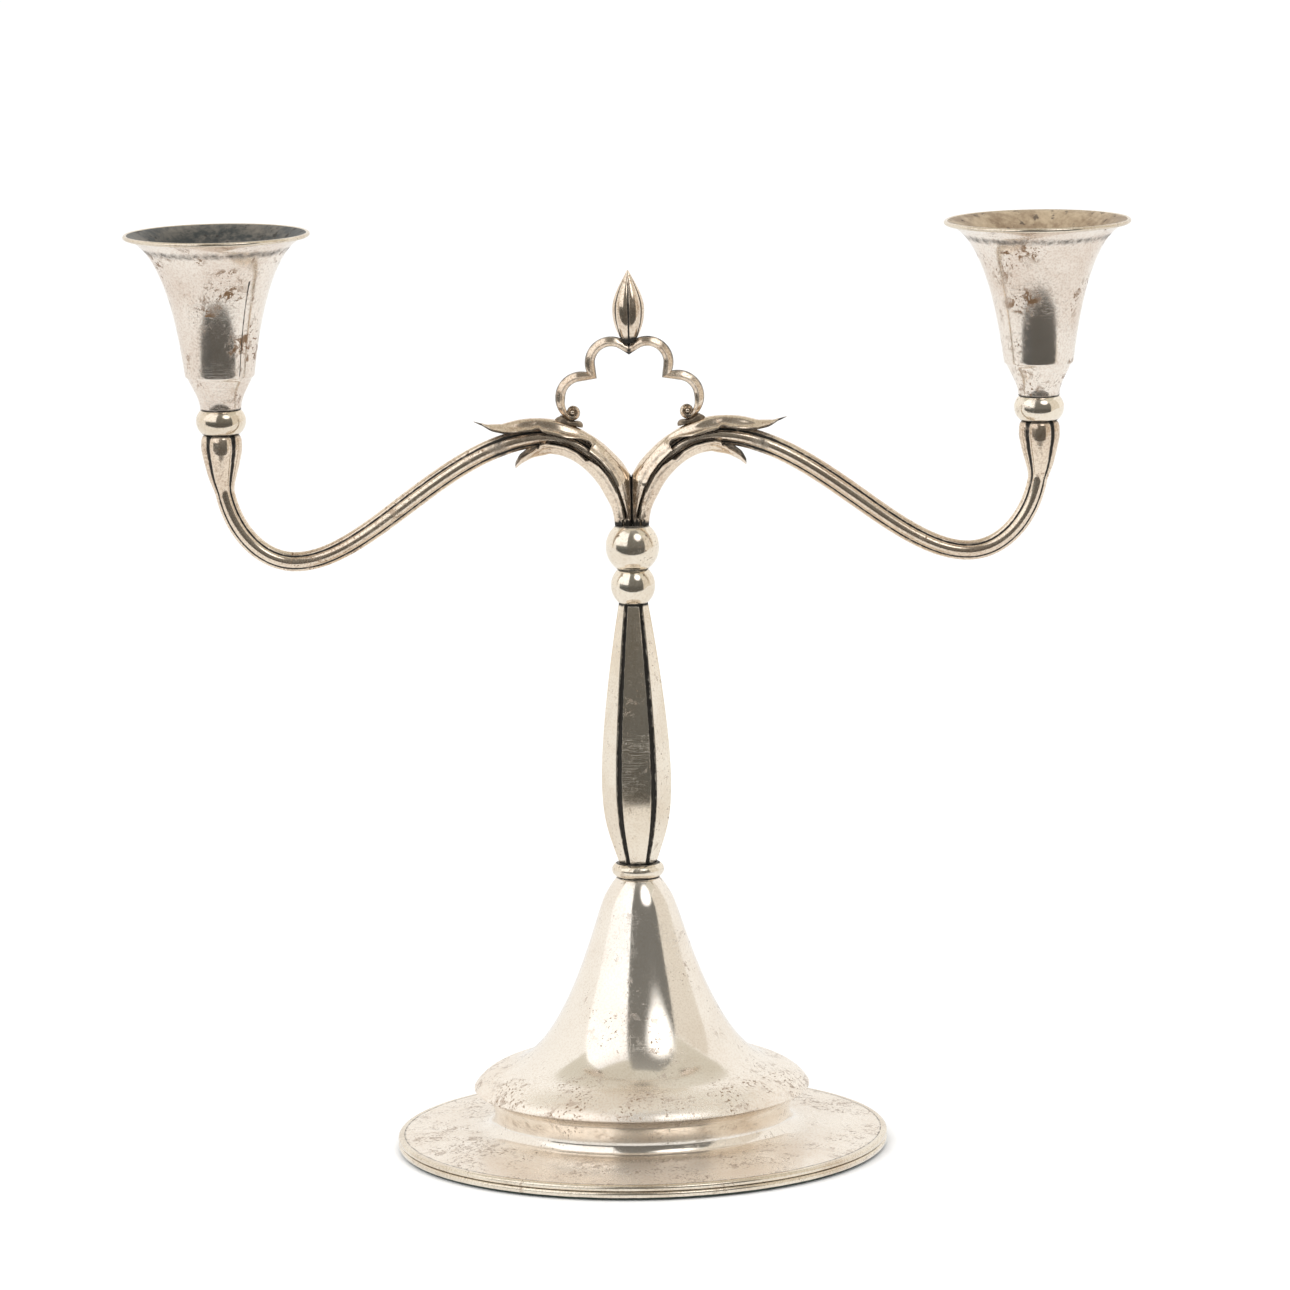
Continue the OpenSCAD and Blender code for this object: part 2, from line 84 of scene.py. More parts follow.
AXIS_R = 0.01      # how close to its axis an end face of a turned piece begins


# ---------------------------------------------------------------- curves

def bezier(p, t):
    """Points at shares t of a cubic curve with control points p."""
    a, b, c, d = (np.array(q, float) for q in p)
    t = np.asarray(t, float)[..., None]
    return (1 - t) ** 3 * a + 3 * t * (1 - t) ** 2 * b + 3 * t * t * (1 - t) * c + t ** 3 * d


def bezier_slope(p, t):
    """Direction of the same curve at shares t, not of unit length."""
    a, b, c, d = (np.array(q, float) for q in p)
    t = np.asarray(t, float)[..., None]
    return 3 * ((1 - t) ** 2 * (b - a) + 2 * t * (1 - t) * (c - b) + t * t * (d - c))


def run(p, steps):
    """Points of a curve without its last one, so that curves join end to end."""
    return [tuple(q) for q in bezier(p, np.arange(steps) / steps)]


def bulge(r_mid, r_end, z, h, steps):
    """Profile of a bulging ring, from r_end at z through r_mid half-way up."""
    rise = r_mid - r_end
    big = (h * h / 4 + rise * rise) / (2 * rise)
    half = math.asin(h / 2 / big)
    return [(r_mid - big + big * math.cos(a), z + h / 2 + big * math.sin(a))
            for a in np.linspace(-half, half, steps + 1)]


def offset_left(points, t):
    """A profile moved to its left by t, with mitred corners."""
    p = np.array(points, float)
    step = np.diff(p, axis=0)
    keep = np.r_[True, np.hypot(*step.T) > 1e-6]
    p = p[keep]
    way = np.diff(p, axis=0)
    way /= np.hypot(*way.T)[:, None]
    left = np.c_[-way[:, 1], way[:, 0]]
    a, b = np.r_[left, left[-1:]], np.r_[left[:1], left]
    return [tuple(q) for q in p + t * (a + b) / (1 + (a * b).sum(1))[:, None]]


def smooth(x, low, high):
    """0 below low and 1 above high, eased in between."""
    x = np.clip((np.asarray(x, float) - low) / (high - low), 0, 1)
    return x * x * (3 - 2 * x)


def near(x, centre, width):
    """1 at centre, falling to almost nothing two widths away."""
    return np.exp(-((np.asarray(x, float) - centre) / width) ** 2)


# ---------------------------------------------------------------- meshes

def skin(name, rings, finishes, marks=None, caps=True, bands=None, sharp=38, loop=True):
    """A mesh through rings of equally many points, in millimetres. Marks are values kept on its points."""
    rings = np.asarray(rings, float)
    n, m = rings.shape[:2]
    at = np.arange(n * m).reshape(n, m)
    nxt = np.roll(at, -1, axis=1) if loop else at[:, 1:]
    cur = at if loop else at[:, :-1]
    quads = np.stack([cur[:-1], nxt[:-1], nxt[1:], cur[1:]], -1).reshape(-1, 4)
    faces = quads.tolist()
    if caps and loop:
        faces.append(at[0, ::-1].tolist())
        faces.append(at[-1].tolist())
    mesh = bpy.data.meshes.new(name)
    mesh.from_pydata((rings.reshape(-1, 3) * MM).tolist(), [], faces)
    for mark, values in (marks or {}).items():
        layer = mesh.attributes.new(mark, "FLOAT", "POINT")
        layer.data.foreach_set("value", np.broadcast_to(values, (n, m)).astype(np.float32).ravel())
    for finish in finishes:
        mesh.materials.append(finish)
    if bands is not None:
        which = np.repeat(np.asarray(bands)[:n - 1], quads.shape[0] // (n - 1))
        which = np.r_[which, [bands[0], bands[-1]][:len(faces) - len(quads)]].astype(np.int32)
        mesh.polygons.foreach_set("material_index", which)
    mesh.polygons.foreach_set("use_smooth", [True] * len(faces))
    mesh.set_sharp_from_angle(angle=math.radians(sharp))
    mesh.update()
    piece = bpy.data.objects.new(name, mesh)
    bpy.context.scene.collection.objects.link(piece)
    return piece


def turned(name, profile, finishes, x=0, soil=(), worn=None, seam=None, bands=None, segments=192, sharp=38,
           hoop=False):
    """A lathe piece from an (r, z) profile. Its oxide and shade list gives (r, z, width, strength) of each
    oxidised joint on it, worn is a function of r and z, seam is a dirty line at an angle between two heights, and
    a hoop has no end faces."""
    p = np.array(profile, float)
    if hoop:
        p = np.r_[p, p[:1]]
    around = np.linspace(0, 2 * math.pi, segments, endpoint=False)
    rings = np.stack([x + np.outer(p[:, 0], np.cos(around)), np.outer(p[:, 0], np.sin(around)),
                      np.repeat(p[:, 1:], segments, 1)], -1)
    oxide_and_shade_amount = sum((strength * near(np.hypot(p[:, 0] - r, p[:, 1] - z), 0, width) for r, z, width, strength in soil),
               np.zeros(len(p)))
    oxide_and_shade_amount = np.repeat(np.clip(oxide_and_shade_amount, 0, 1)[:, None], segments, 1)
    if seam is not None:
        angle, low, high = seam
        inside = (p[:, 1] > low) & (p[:, 1] < high)
        oxide_and_shade_amount[inside, int(angle / 360 * segments) % segments] = 0.8
    marks = {"soil": oxide_and_shade_amount}
    if worn is not None:
        marks["worn"] = np.array([worn(r, z) for r, z in p])[:, None]
    return skin(name, rings, finishes, marks, caps=not hoop, bands=bands, sharp=sharp)


def keep(piece, slot, *nodes):
    """The piece stands for these nodes, and rides on the candlestick's one body."""
    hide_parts(*nodes)
    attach(piece, "root")
    return piece


def mirrored(name, piece):
    """A left-hand copy of a right-hand piece, with its faces turned the right way out."""
    mesh = piece.data.copy()
    mesh.name = name
    co = np.zeros(len(mesh.vertices) * 3, np.float32)
    mesh.vertices.foreach_get("co", co)
    co = co.reshape(-1, 3) * [-1, 1, 1]
    mesh.vertices.foreach_set("co", co.astype(np.float32).ravel())
    mesh.flip_normals()
    mesh.update()
    copy = bpy.data.objects.new(name, mesh)
    bpy.context.scene.collection.objects.link(copy)
    return copy


# ---------------------------------------------------------------- shader maths

class Wire:
    """A shader socket that takes arithmetic; each operation adds its Math node."""

    def __init__(self, shop, socket):
        self.shop, self.socket = shop, socket

    def maths(self, operation, *terms):
        return self.shop.node("ShaderNodeMath", {"operation": operation}, dict(enumerate(terms)))

    def __add__(self, other): return self.maths("ADD", self, other)
    def __radd__(self, other): return self.maths("ADD", other, self)
    def __sub__(self, other): return self.maths("SUBTRACT", self, other)
    def __rsub__(self, other): return self.maths("SUBTRACT", other, self)
    def __mul__(self, other): return self.maths("MULTIPLY", self, other)
    def __rmul__(self, other): return self.maths("MULTIPLY", other, self)
    def __abs__(self): return self.maths("ABSOLUTE", self)

    def ramp(self, low, high):
        """0 below low, 1 above high, eased in between."""
        return self.shop.node("ShaderNodeMapRange", {"interpolation_type": "SMOOTHSTEP"},
                              {"Value": self, "From Min": low, "From Max": high})


class Finish:
    """A node material with one surface shader."""

    def __init__(self, name):
        self.material = bpy.data.materials.new(name)
        self.material.use_nodes = True
        self.tree = self.material.node_tree
        self.surface = self.tree.nodes["Principled BSDF"]
        self.place = self.node("ShaderNodeTexCoord", out="Object")

    def node(self, kind, settings=None, sockets=None, out=0):
        made = self.tree.nodes.new(kind)
        for key, value in (settings or {}).items():
            setattr(made, key, value)
        for key, value in (sockets or {}).items():
            self.feed(made.inputs[key], value)
        return Wire(self, made.outputs[out])

    def feed(self, socket, value):
        if isinstance(value, Wire):
            self.tree.links.new(value.socket, socket)
        elif isinstance(value, (tuple, list)) and len(socket.default_value) == 4:
            socket.default_value = (*value, 1)[:4]
        else:
            socket.default_value = value

    def noise(self, scale, detail=2.0, rough=0.5, at=None, distortion=0.0):
        return self.node("ShaderNodeTexNoise", {}, {"Vector": at or self.place, "Scale": scale, "Detail": detail,
                                                    "Roughness": rough, "Distortion": distortion})

    def stretched(self, scale, turn=(0, 0, 0), shift=(0, 0, 0)):
        return self.node("ShaderNodeMapping", {}, {"Vector": self.place, "Scale": scale, "Rotation": turn,
                                                   "Location": shift})

    def shifted(self, x, y, z):
        """The piece's own coordinates, moved so that two finishes don't share a pattern."""
        return self.stretched((1, 1, 1), shift=(x, y, z))

    def mark(self, name):
        return self.node("ShaderNodeAttribute", {"attribute_name": name}, out="Fac")

    def blend(self, share, a, b):
        """Colour a where share is 0, and b where it is 1."""
        return self.node("ShaderNodeMix", {"data_type": "RGBA"}, {0: share, 6: a, 7: b}, out=2)

    def relief(self, height, strength, depth, under=None):
        sockets = {"Strength": strength, "Distance": depth, "Height": height}
        if under is not None:
            sockets["Normal"] = under
        return self.node("ShaderNodeBump", {}, sockets)

    def done(self, **sockets):
        for key, value in sockets.items():
            self.feed(self.surface.inputs[key.replace("_", " ")], value)
        return self.material


# ---------------------------------------------------------------- finishes

# dark colour of oxide in the joints, also used as painted shade in recesses
OXIDE_AND_SHADE = (0.022, 0.019, 0.015)
BROWN = (0.20, 0.11, 0.05)


def hairlines(f, seed):
    """Sparse hair scratches in three directions, 1 on a scratch."""
    total = None
    for i, turn in enumerate(((0.3, 0.2, 0.4), (1.2, 0.7, 2.1), (2.3, 1.1, 0.9))):
        grain = (95, 95, 1500) if i else (1300, 90, 90)
        n = f.noise(1, 1, 0.4, f.stretched(grain, turn, (seed + i, seed, i)))
        line = 1 - abs(n - 0.5).ramp(0.0, 0.006)
        total = line if total is None else total.maths("MAXIMUM", total, line)
    patch = f.noise(55, 2, 0.5, f.shifted(seed, 0, 0)).ramp(0.5, 0.7)
    return total * patch


def silver(name, seed, bright, tanned, tan, pits, grain, gloss, ripple):
    """Old polished silver: bright metal under tanned haze, with oxide in its joints, brown pits and scratches.
    The same dark blend paints shade into the recesses that the mesh marks.
    """
    f = Finish(name)
    shifted = f.shifted(seed * 0.37, seed * 0.71, seed * 0.13)
    worn = f.mark("worn")
    soil = f.mark("soil")
    cloud = f.noise(30, 5, 0.62, shifted, 0.4)
    grit = f.noise(420, 4, 0.62, shifted)
    fine = f.noise(1500, 3, 0.6, shifted)
    # oxide in the joints plus painted shade in recesses, both from the mesh's darkening mark
    oxide_and_shade_amount = (soil * 1.45 + (grit - 0.5) * 1.9 * (soil + 0.12) - 0.30).ramp(0.0, 0.8)
    patch = (f.noise(75, 3, 0.6, shifted) + worn * 0.08).ramp(0.49, 0.66)
    edge = 0.655 - 0.06 * pits - worn * 0.062
    spots = (f.noise(1050, 3, 0.55, shifted) - edge).ramp(0.0, 0.05) * (patch * 0.9 + 0.1 * pits)
    stain = (f.noise(240, 5, 0.7, shifted, 0.6) - 0.60 + 0.065 * pits + worn * 0.03).ramp(0.0, 0.04) * patch
    speckle = fine.ramp(0.44, 0.62)
    haze = (cloud.ramp(0.38, 0.68) * 0.75 + worn * 0.25) * tan + speckle * (grain + worn * 0.15)
    metal = f.blend(haze.maths("MINIMUM", haze, 1.0), bright, tanned)
    stained = f.blend(stain * min(1.0, 0.25 + 0.7 * pits), metal, BROWN)
    pitted = f.blend(spots * min(1.0, 0.6 + pits), stained, BROWN)
    colour = f.blend(oxide_and_shade_amount, pitted, OXIDE_AND_SHADE)
    scratch = hairlines(f, seed)
    rough = (gloss + haze * 0.10 + (spots + stain) * 0.2 * pits + oxide_and_shade_amount * 0.38 + scratch * 0.1 + speckle * 0.05
             + worn * (0.12 + 0.10 * cloud))
    height = (fine * (0.08 + worn * 0.25) + grit * (0.12 + worn * 0.3) - spots * 0.9 - stain * 0.3 - oxide_and_shade_amount * 0.5
              - scratch * 0.6)
    waves = f.relief(f.noise(62, 2, 0.4, shifted), 1.0, 0.00035 * ripple)
    metallic = 1 - oxide_and_shade_amount * 0.5 - spots * 0.35 - stain * 0.3 - worn * 0.2
    return f.done(Base_Color=colour, Metallic=metallic, Roughness=rough,
                  Normal=f.relief(height, 0.55, 0.00005, waves))


def tarnished_lining(name, dark, light, specks, seed):
    """Inside of a socket: unpolished, stained by wax and smoke."""
    f = Finish(name)
    shifted = f.shifted(seed, seed * 2, seed * 3)
    cloud = f.noise(90, 6, 0.65, shifted, 0.5)
    grit = f.noise(520, 4, 0.65, shifted)
    spots = f.noise(330, 3, 0.6, shifted).ramp(0.58, 0.68)
    base = f.blend((cloud * 0.65 + grit * 0.35).ramp(0.38, 0.64), dark, light)
    colour = f.blend(spots * 0.8, base, specks)
    return f.done(Base_Color=colour, Metallic=0.35 - spots * 0.3, Roughness=0.34 + grit * 0.2 + spots * 0.2,
                  Normal=f.relief(grit + spots * 0.6, 0.5, 0.0001))


def plain_metal(name, colour, dark, gloss, seed):
    """Metal left dull: solder, turned steel and the closing plate."""
    f = Finish(name)
    shifted = f.shifted(seed, 0, seed)
    cloud = f.noise(160, 5, 0.6, shifted)
    grit = f.noise(900, 3, 0.6, shifted)
    return f.done(Base_Color=f.blend((cloud * 0.7 + grit * 0.3).ramp(0.4, 0.66), colour, dark),
                  Metallic=0.95, Roughness=gloss + cloud * 0.15, Normal=f.relief(grit + cloud, 0.4, 0.0001))


def baize(name):
    """Dense felt, dark green, with its fibres standing out at the cut edge."""
    f = Finish(name)
    fibre = f.noise(2600, 4, 0.7, f.stretched((1, 1, 2.5)))
    cloud = f.noise(180, 3, 0.6)
    return f.done(Base_Color=f.blend((fibre * 0.6 + cloud * 0.4).ramp(0.3, 0.7), (0.012, 0.022, 0.016),
                                     (0.035, 0.055, 0.042)),
                  Roughness=0.92, Sheen_Weight=0.25, Normal=f.relief(fibre, 0.7, 0.0002))


def pitch(name):
    """Cast pitch, dull and nearly black."""
    f = Finish(name)
    grit = f.noise(500, 5, 0.6)
    return f.done(Base_Color=f.blend(grit.ramp(0.35, 0.7), (0.02, 0.016, 0.012), (0.06, 0.048, 0.036)),
                  Roughness=0.7 + grit * 0.2, Normal=f.relief(grit, 0.5, 0.0003))


SPUN = silver("spun_silver", 0.4, (0.94, 0.88, 0.80), (0.66, 0.52, 0.39),
              tan=0.28, pits=0.35, grain=0.16, gloss=0.09, ripple=0.30)
EDGE = silver("wire_silver", 1.7, (0.86, 0.78, 0.66), (0.52, 0.40, 0.28),
              tan=0.6, pits=0.3, grain=0.3, gloss=0.13, ripple=0.1)
STEM = silver("stem_silver", 2.6, (0.91, 0.83, 0.71), (0.60, 0.46, 0.31),
              tan=0.5, pits=0.4, grain=0.2, gloss=0.08, ripple=0.15)
CAST = silver("cast_silver", 3.9, (0.89, 0.77, 0.63), (0.42, 0.27, 0.17),
              tan=0.46, pits=0.5, grain=0.34, gloss=0.08, ripple=0.2)
SOCKET = silver("socket_silver", 5.2, (0.91, 0.84, 0.76), (0.60, 0.45, 0.35),
                tan=0.5, pits=1.0, grain=0.34, gloss=0.10, ripple=0.35)
LEFT_LINING = tarnished_lining("left_lining", (0.035, 0.04, 0.04), (0.17, 0.15, 0.125),
                               (0.02, 0.014, 0.01), 1.0)
RIGHT_LINING = tarnished_lining("right_lining", (0.26, 0.18, 0.11), (0.52, 0.41, 0.28),
                                (0.06, 0.04, 0.025), 2.0)
SOLDER = plain_metal("dark_solder", (0.34, 0.27, 0.20), (0.09, 0.07, 0.05), 0.3, 0.5)
STEEL = plain_metal("turned_steel", (0.46, 0.47, 0.48), (0.32, 0.33, 0.34), 0.32, 1.5)
BAIZE = baize("green_baize")
PITCH = pitch("cast_pitch")


# ---------------------------------------------------------------- foot

FOOT_SEGMENTS = 256


def foot():
    """Spun sheet from its flat edge over the cove, the lip and the cone to the neck, its wire and its baize."""
    cone_z, cone_r = LIP_Z + 7.1, TIER_R - 11.2
    shoulder = (11.7, FOOT_TOP - 8)
    edge_z = FELT_TOP + 4.1
    flange_end, waist, throat = (53.5, 6.6), (48.0, 10.2), (49.5, 16.4)
    lip_under, lip_over = (TIER_R - 0.3, LIP_Z - 0.45), (TIER_R - 0.4, LIP_Z + 0.3)
    outside = ([(SHEET_R, FELT_TOP)]
               + run([(SHEET_R, edge_z), (69.5, 5.53), (61.5, 6.06), flange_end], 20)
               + run([flange_end, (50.6, 6.8), (48.7, 7.5), waist], 26)
               + run([waist, (47.7, 12.3), (48.1, 14.5), throat], 20)
               + run([throat, (50.6, 17.8), (52.2, 19.0), lip_under], 14)
               + run([lip_under, (TIER_R, LIP_Z - 0.35), (TIER_R, LIP_Z), lip_over], 6)
               + run([lip_over, (TIER_R - 2, LIP_Z + 3.4), (cone_r + 4.5, cone_z - 1.1), (cone_r, cone_z)], 26)
               + run([(cone_r, cone_z), (cone_r - 18.1, cone_z + 4.2),
                      (shoulder[0] + 3.5, shoulder[1] - 9), shoulder], 90)
               + run([shoulder, (shoulder[0] - 1.2, shoulder[1] + 3),
                      (NECK_R + 1.6, FOOT_TOP - 1.6), (NECK_R, FOOT_TOP)], 16)
               + [(NECK_R, FOOT_TOP)])
    inside = offset_left(outside, FOOT_WALL)[::-3]
    flange_dirt = (49.7, 8.0, 2.2, 0.10)
    piece = turned("foot_of_spun_silver", outside + inside, [SPUN], segments=FOOT_SEGMENTS, hoop=True,
                   soil=((NECK_R, FOOT_TOP, 0.7, 0.9), (SHEET_R, edge_z, 0.5, 0.6),
                         (TIER_R, LIP_Z - 0.9, 0.4, 0.5), flange_dirt),
                   worn=lambda r, z: float(smooth(r, 47.5, 55) if z < LIP_Z - 1 else smooth(r, 34, 47)))
    keep(piece, "silver", "foot_shell")

    reed_r = box("foot_rim_wire")[1][1]
    reed_end, reed_h = reed_r - 0.9, 2.05
    reeds = ([(SHEET_R, FELT_TOP)] + bulge(reed_r, reed_end, FELT_TOP, reed_h, 14)
             + bulge(reed_r, reed_end, FELT_TOP + reed_h, reed_h, 14) + [(SHEET_R, edge_z)])
    keep(turned("reeded_foot_wire", reeds, [EDGE], segments=FOOT_SEGMENTS, hoop=True,
                soil=((reed_end, FELT_TOP + reed_h, 0.35, 1.0), (reed_end, FELT_TOP, 0.6, 0.9))),
         "silver", "foot_rim_wire")

    felt_r = box("felt_pad")[1][0]
    pad = [(AXIS_R, 0.0), (felt_r - 1.2, 0.0), (felt_r - 0.25, 0.12), (felt_r, 0.45),
           (felt_r - 0.15, FELT_TOP - 0.08), (felt_r - 0.4, FELT_TOP), (AXIS_R, FELT_TOP)]
    keep(turned("baize_pad", pad, [BAIZE], segments=FOOT_SEGMENTS, sharp=60), "felt", "felt_pad")


# ---------------------------------------------------------------- stem

def ring(name, node, finish, drawn_in, soil):
    """A turned ring over a node's box, its ends drawn in, with oxide of that width at both ends."""
    low, high = box(node)
    x = (low[0] + high[0]) / 2
    r = (high[0] - low[0]) / 2
    end = r - drawn_in
    profile = [(AXIS_R, low[2])] + bulge(r, end, low[2], high[2] - low[2], 40) + [(AXIS_R, high[2])]
    return turned(name, profile, [finish], x=x, soil=((end, low[2], soil, 0.68), (end, high[2], soil, 0.68)),
                  segments=128, sharp=50)


def stem():
    for name, node, drawn_in, soil in (("ring_collar", "stem_collar", 1.55, 0.4),
                                       ("lower_ball", "lower_knop", 2.55, 0.75),
                                       ("upper_ball", "upper_knop", 3.45, 0.8)):
        keep(ring(name, node, STEM, drawn_in, soil), "silver", node)


def corner_at(degrees):
    """Direction of a corner or a panel of the baluster."""
    a = math.radians(degrees)
    return np.array([math.cos(a), math.sin(a)])


def panelled_stem():
    """Hexagonal baluster: flat panels between chamfered grooves that run along its six corners."""
    z0, z1 = BALUSTER
    belly, belly_r, top_r = z0 + 27, 11.9, 5.1
    corner = (bezier([(NECK_R - 0.1, z0), (NECK_R + 3.1, z0 + 9.5), (belly_r, belly - 13.5), (belly_r, belly)],
                     np.linspace(0, 1, 36, endpoint=False)).tolist()
              + bezier([(belly_r, belly), (12.0, belly + 15.7), (top_r + 2.4, z1 - 12.7), (top_r, z1)],
                       np.linspace(0, 1, 61)).tolist())
    rings, oxide_and_shade_rows = [], []
    for r, z in corner:
        ends = smooth(z, z0, z0 + 3) * (1 - smooth(z, z1 - 2.5, z1))
        deep = 1.25 * (0.6 + 0.4 * ends)
        wide = min(1.0, 0.62 + 0.38 * (r - 5) / 6.9)
        side = r  # a hexagon's side is as long as its corners are far from its axis
        # half a side, from the corner to the middle of the panel: distance along it, depth under it, soil
        groove = [(0.0, deep + 0.3, 1.0), (0.45 * wide, deep + 0.1, 1.0), (0.95 * wide, 0.8 * deep, 0.95),
                  (1.28 * wide, 0.2, 0.55), (1.36 * wide, 0.05, 0.0), (1.5 * wide, 0.0, 0.0),
                  (1.66 * wide, 0.05, 0.0)]
        panel = [(s, 0.06 + 0.06 * abs(s / side - 0.5), 0.0) for s in np.linspace(1.85 * wide, side / 2, 4)]
        half = groove + panel
        full = half + [(side - s, d, q) for s, d, q in reversed(half[:-1])]
        loop, oxide_and_shade_amount = [], []
        for k in range(6):
            here, ahead, out = corner_at(60 * k), corner_at(60 * k + 60), corner_at(60 * k + 30)
            for s, d, q in full[:-1]:
                xy = here * (r - d) if s == 0.0 else here * r + (ahead - here) * r * s / side - out * d
                loop.append((xy[0], xy[1], z))
                oxide_and_shade_amount.append(q)
        rings.append(loop)
        joint = near(z, z0, 0.9) + near(z, z1, 0.8)
        oxide_and_shade_rows.append(np.clip(np.array(oxide_and_shade_amount) + joint, 0, 1))
    piece = skin("panelled_stem", rings, [STEM], {"soil": np.array(oxide_and_shade_rows)}, sharp=28)
    keep(piece, "silver", "baluster")


# ---------------------------------------------------------------- arms

CROWN = (27.5, BRANCH + 28.9)
BOWL = (CUP_X - 23, BRANCH - 10)
ROOT = (2.75, BRANCH)
ARM_TOP = (CUP_X, BEAD_BASE)
ARM_CURVES = [
    [ROOT, (ROOT[0], BRANCH + 16), (CROWN[0] - 13, CROWN[1]), CROWN],
    [CROWN, (CROWN[0] + 31, CROWN[1]), (BOWL[0] - 24, BOWL[1]), BOWL],
    [BOWL, (BOWL[0] + 13, BOWL[1]), (CUP_X, BEAD_BASE - 28), (CUP_X, BEAD_BASE - 12)],
    [(CUP_X, BEAD_BASE - 12), (CUP_X, BEAD_BASE - 8), (CUP_X, BEAD_BASE - 4), ARM_TOP],
]


def arm_at(u):
    """Centre of the arm at u, and the direction along it and across it, in X and Z."""
    i = min(int(u), 3)
    c = bezier(ARM_CURVES[i], u - i)
    t = bezier_slope(ARM_CURVES[i], u - i)
    t = t / np.hypot(*t)
    return c, t, np.array([-t[1], t[0]])


# share of the lobes' radius along the arm's first two curves, and the calyx's radius at depths under the bead
ARM_SWELL = [(0, 0.4), (0.25, 0.58), (0.5, 0.7), (0.8, 0.82), (1, 0.95), (1.15, 1.03), (1.5, 1.05), (2, 0.97)]
CALYX = [(0, 5.1), (0.5, 5.75), (1.2, 6.25), (2.2, 6.5), (3.5, 6.6), (5, 6.58), (6.1, 6.45), (8, 6.05),
         (10.6, 5.45), (12.5, 4.95), (14.6, 4.4), (17, 3.6), (19, ARM_R * 0.97)]


def arm_r(u):
    """Radius of the arm over its lobes at u."""
    if u > 2:
        c = arm_at(u)[0]
        return float(np.interp(BEAD_BASE - c[1], *zip(*CALYX)))
    return ARM_R * float(np.interp(u, *zip(*ARM_SWELL)))


def lobes(a, count, spread):
    """Radius at angle a of a section with this many round lobes, their centres at spread, 1 at their tops."""
    half = math.pi / count
    b = (a + half) % (2 * half) - half
    return spread * np.cos(b) + np.sqrt((1 - spread) ** 2 - (spread * np.sin(b)) ** 2)


def arm():
    """The right-hand branch, four-lobed, with its calyx under the bead."""
    a = np.linspace(0, 2 * math.pi, 112, endpoint=False)
    cross = np.abs(np.sin(2 * a))
    stations = np.r_[np.linspace(0, 1, 50, endpoint=False), np.linspace(1, 2, 80, endpoint=False),
                     np.linspace(2, 3, 60, endpoint=False), np.linspace(3, 4, 44)]
    rings, oxide_and_shade_rows = [], []
    for u in stations:
        c, _, up = arm_at(u)
        r = arm_r(u) * lobes(a, 4, 0.37)
        m = c + up * (r * np.cos(a))[:, None]
        rings.append(np.c_[m[:, 0], r * np.sin(a), m[:, 1]])
        groove = smooth(cross, 0.90, 0.995)
        below_bead = 0.62 * near(BEAD_BASE - c[1], 0, 1.2) if u > 2 else 0
        # painted shade on the arm where the leaves cover it, and a painted shadow under the leaf tips; the
        # grooves and the bead joint get oxide
        shade_under_leaves = 1 - smooth(u, 0.95, 1.13)
        tip_shadow = near(u, 1.16, 0.05) * 0.5
        oxide_and_shade_rows.append(np.clip(groove * (0.8 - 0.15 * shade_under_leaves) + below_bead + shade_under_leaves * 0.32 + tip_shadow, 0, 1))
    return skin("right_branch", rings, [CAST], {"soil": np.array(oxide_and_shade_rows), "worn": 0.1}, sharp=30)


# ---------------------------------------------------------------- leaves

# front edges of the leaves: X, and height over the upper knop
UPPER_EDGE = [(0.9, 0.0), (1.05, 2.5), (2.45, 7.9), (3.9, 12.7), (6.4, 17.5), (9.6, 21.4), (12.6, 24.0),
              (13.4, 24.5), (12.3, 25.3), (12.1, 26.5), (13.0, 27.9), (15.7, 28.85), (20.8, 29.4), (24.6, 30.35),
              (26.7, 30.8), (28.9, 31.5), (29.4, 32.9), (31.0, 31.8), (35.3, 31.3), (37.4, 31.2), (40.6, 31.3),
              (44.35, 32.2), (47.0, 33.4), (50.0, 34.6)]
LOWER_EDGE = [(1.95, 0.0), (2.1, 2.1), (3.5, 7.5), (4.8, 11.9), (7.15, 16.3), (10.3, 19.7), (13.3, 21.7),
              (14.3, 21.3), (17.2, 24.2), (20.6, 26.0), (24.1, 26.8), (27.0, 27.2), (28.9, 27.0), (29.4, 25.6),
              (30.1, 25.9), (31.5, 24.7), (33.3, 23.6), (35.3, 22.2), (37.2, 19.9)]
# along the arm: u, share of the leaf's full thickness, lift off the arm
UPPER_LEAF = [(0, 0.6, 0), (0.1, 0.75, 0), (0.2, 1.25, 0), (0.3, 1.9, 0), (0.4, 1.75, 0), (0.5, 1.45, 0),
              (0.7, 1.15, 0), (1, 1.35, 0), (1.04, 1.32, 0.3), (1.08, 1.24, 0.6), (1.1, 1.05, 0.91),
              (1.13, 0.75, 1.53), (1.17, 0.55, 3.27), (1.19, 0.3, 5.05), (1.205, 0.05, 6.9)]
LOWER_LEAF = [(0, 0.6, 0), (0.12, 0.64, 0), (0.25, 0.96, 0), (0.5, 1.08, 0), (0.7, 1.05, 0), (0.95, 1.02, 0),
              (1.05, 1.15, 0.5), (1.1, 0.75, 2.39), (1.13, 0.12, 4.69)]
# down the cut edge of a leaf: share of the way down, width left, painted shade
LEAF_WALL = np.array([(0.05, 1.0, 0.05), (0.14, 0.95, 0.45), (0.28, 0.80, 0.62), (0.45, 0.62, 0.60),
                      (0.62, 0.52, 0.56), (0.80, 0.48, 0.56), (0.95, 0.46, 0.60)])
LEAF_T = 2.15
LEAF_GAP = 0.15
LEAF_ACROSS = 49   # points over the back of a leaf, and as many under it


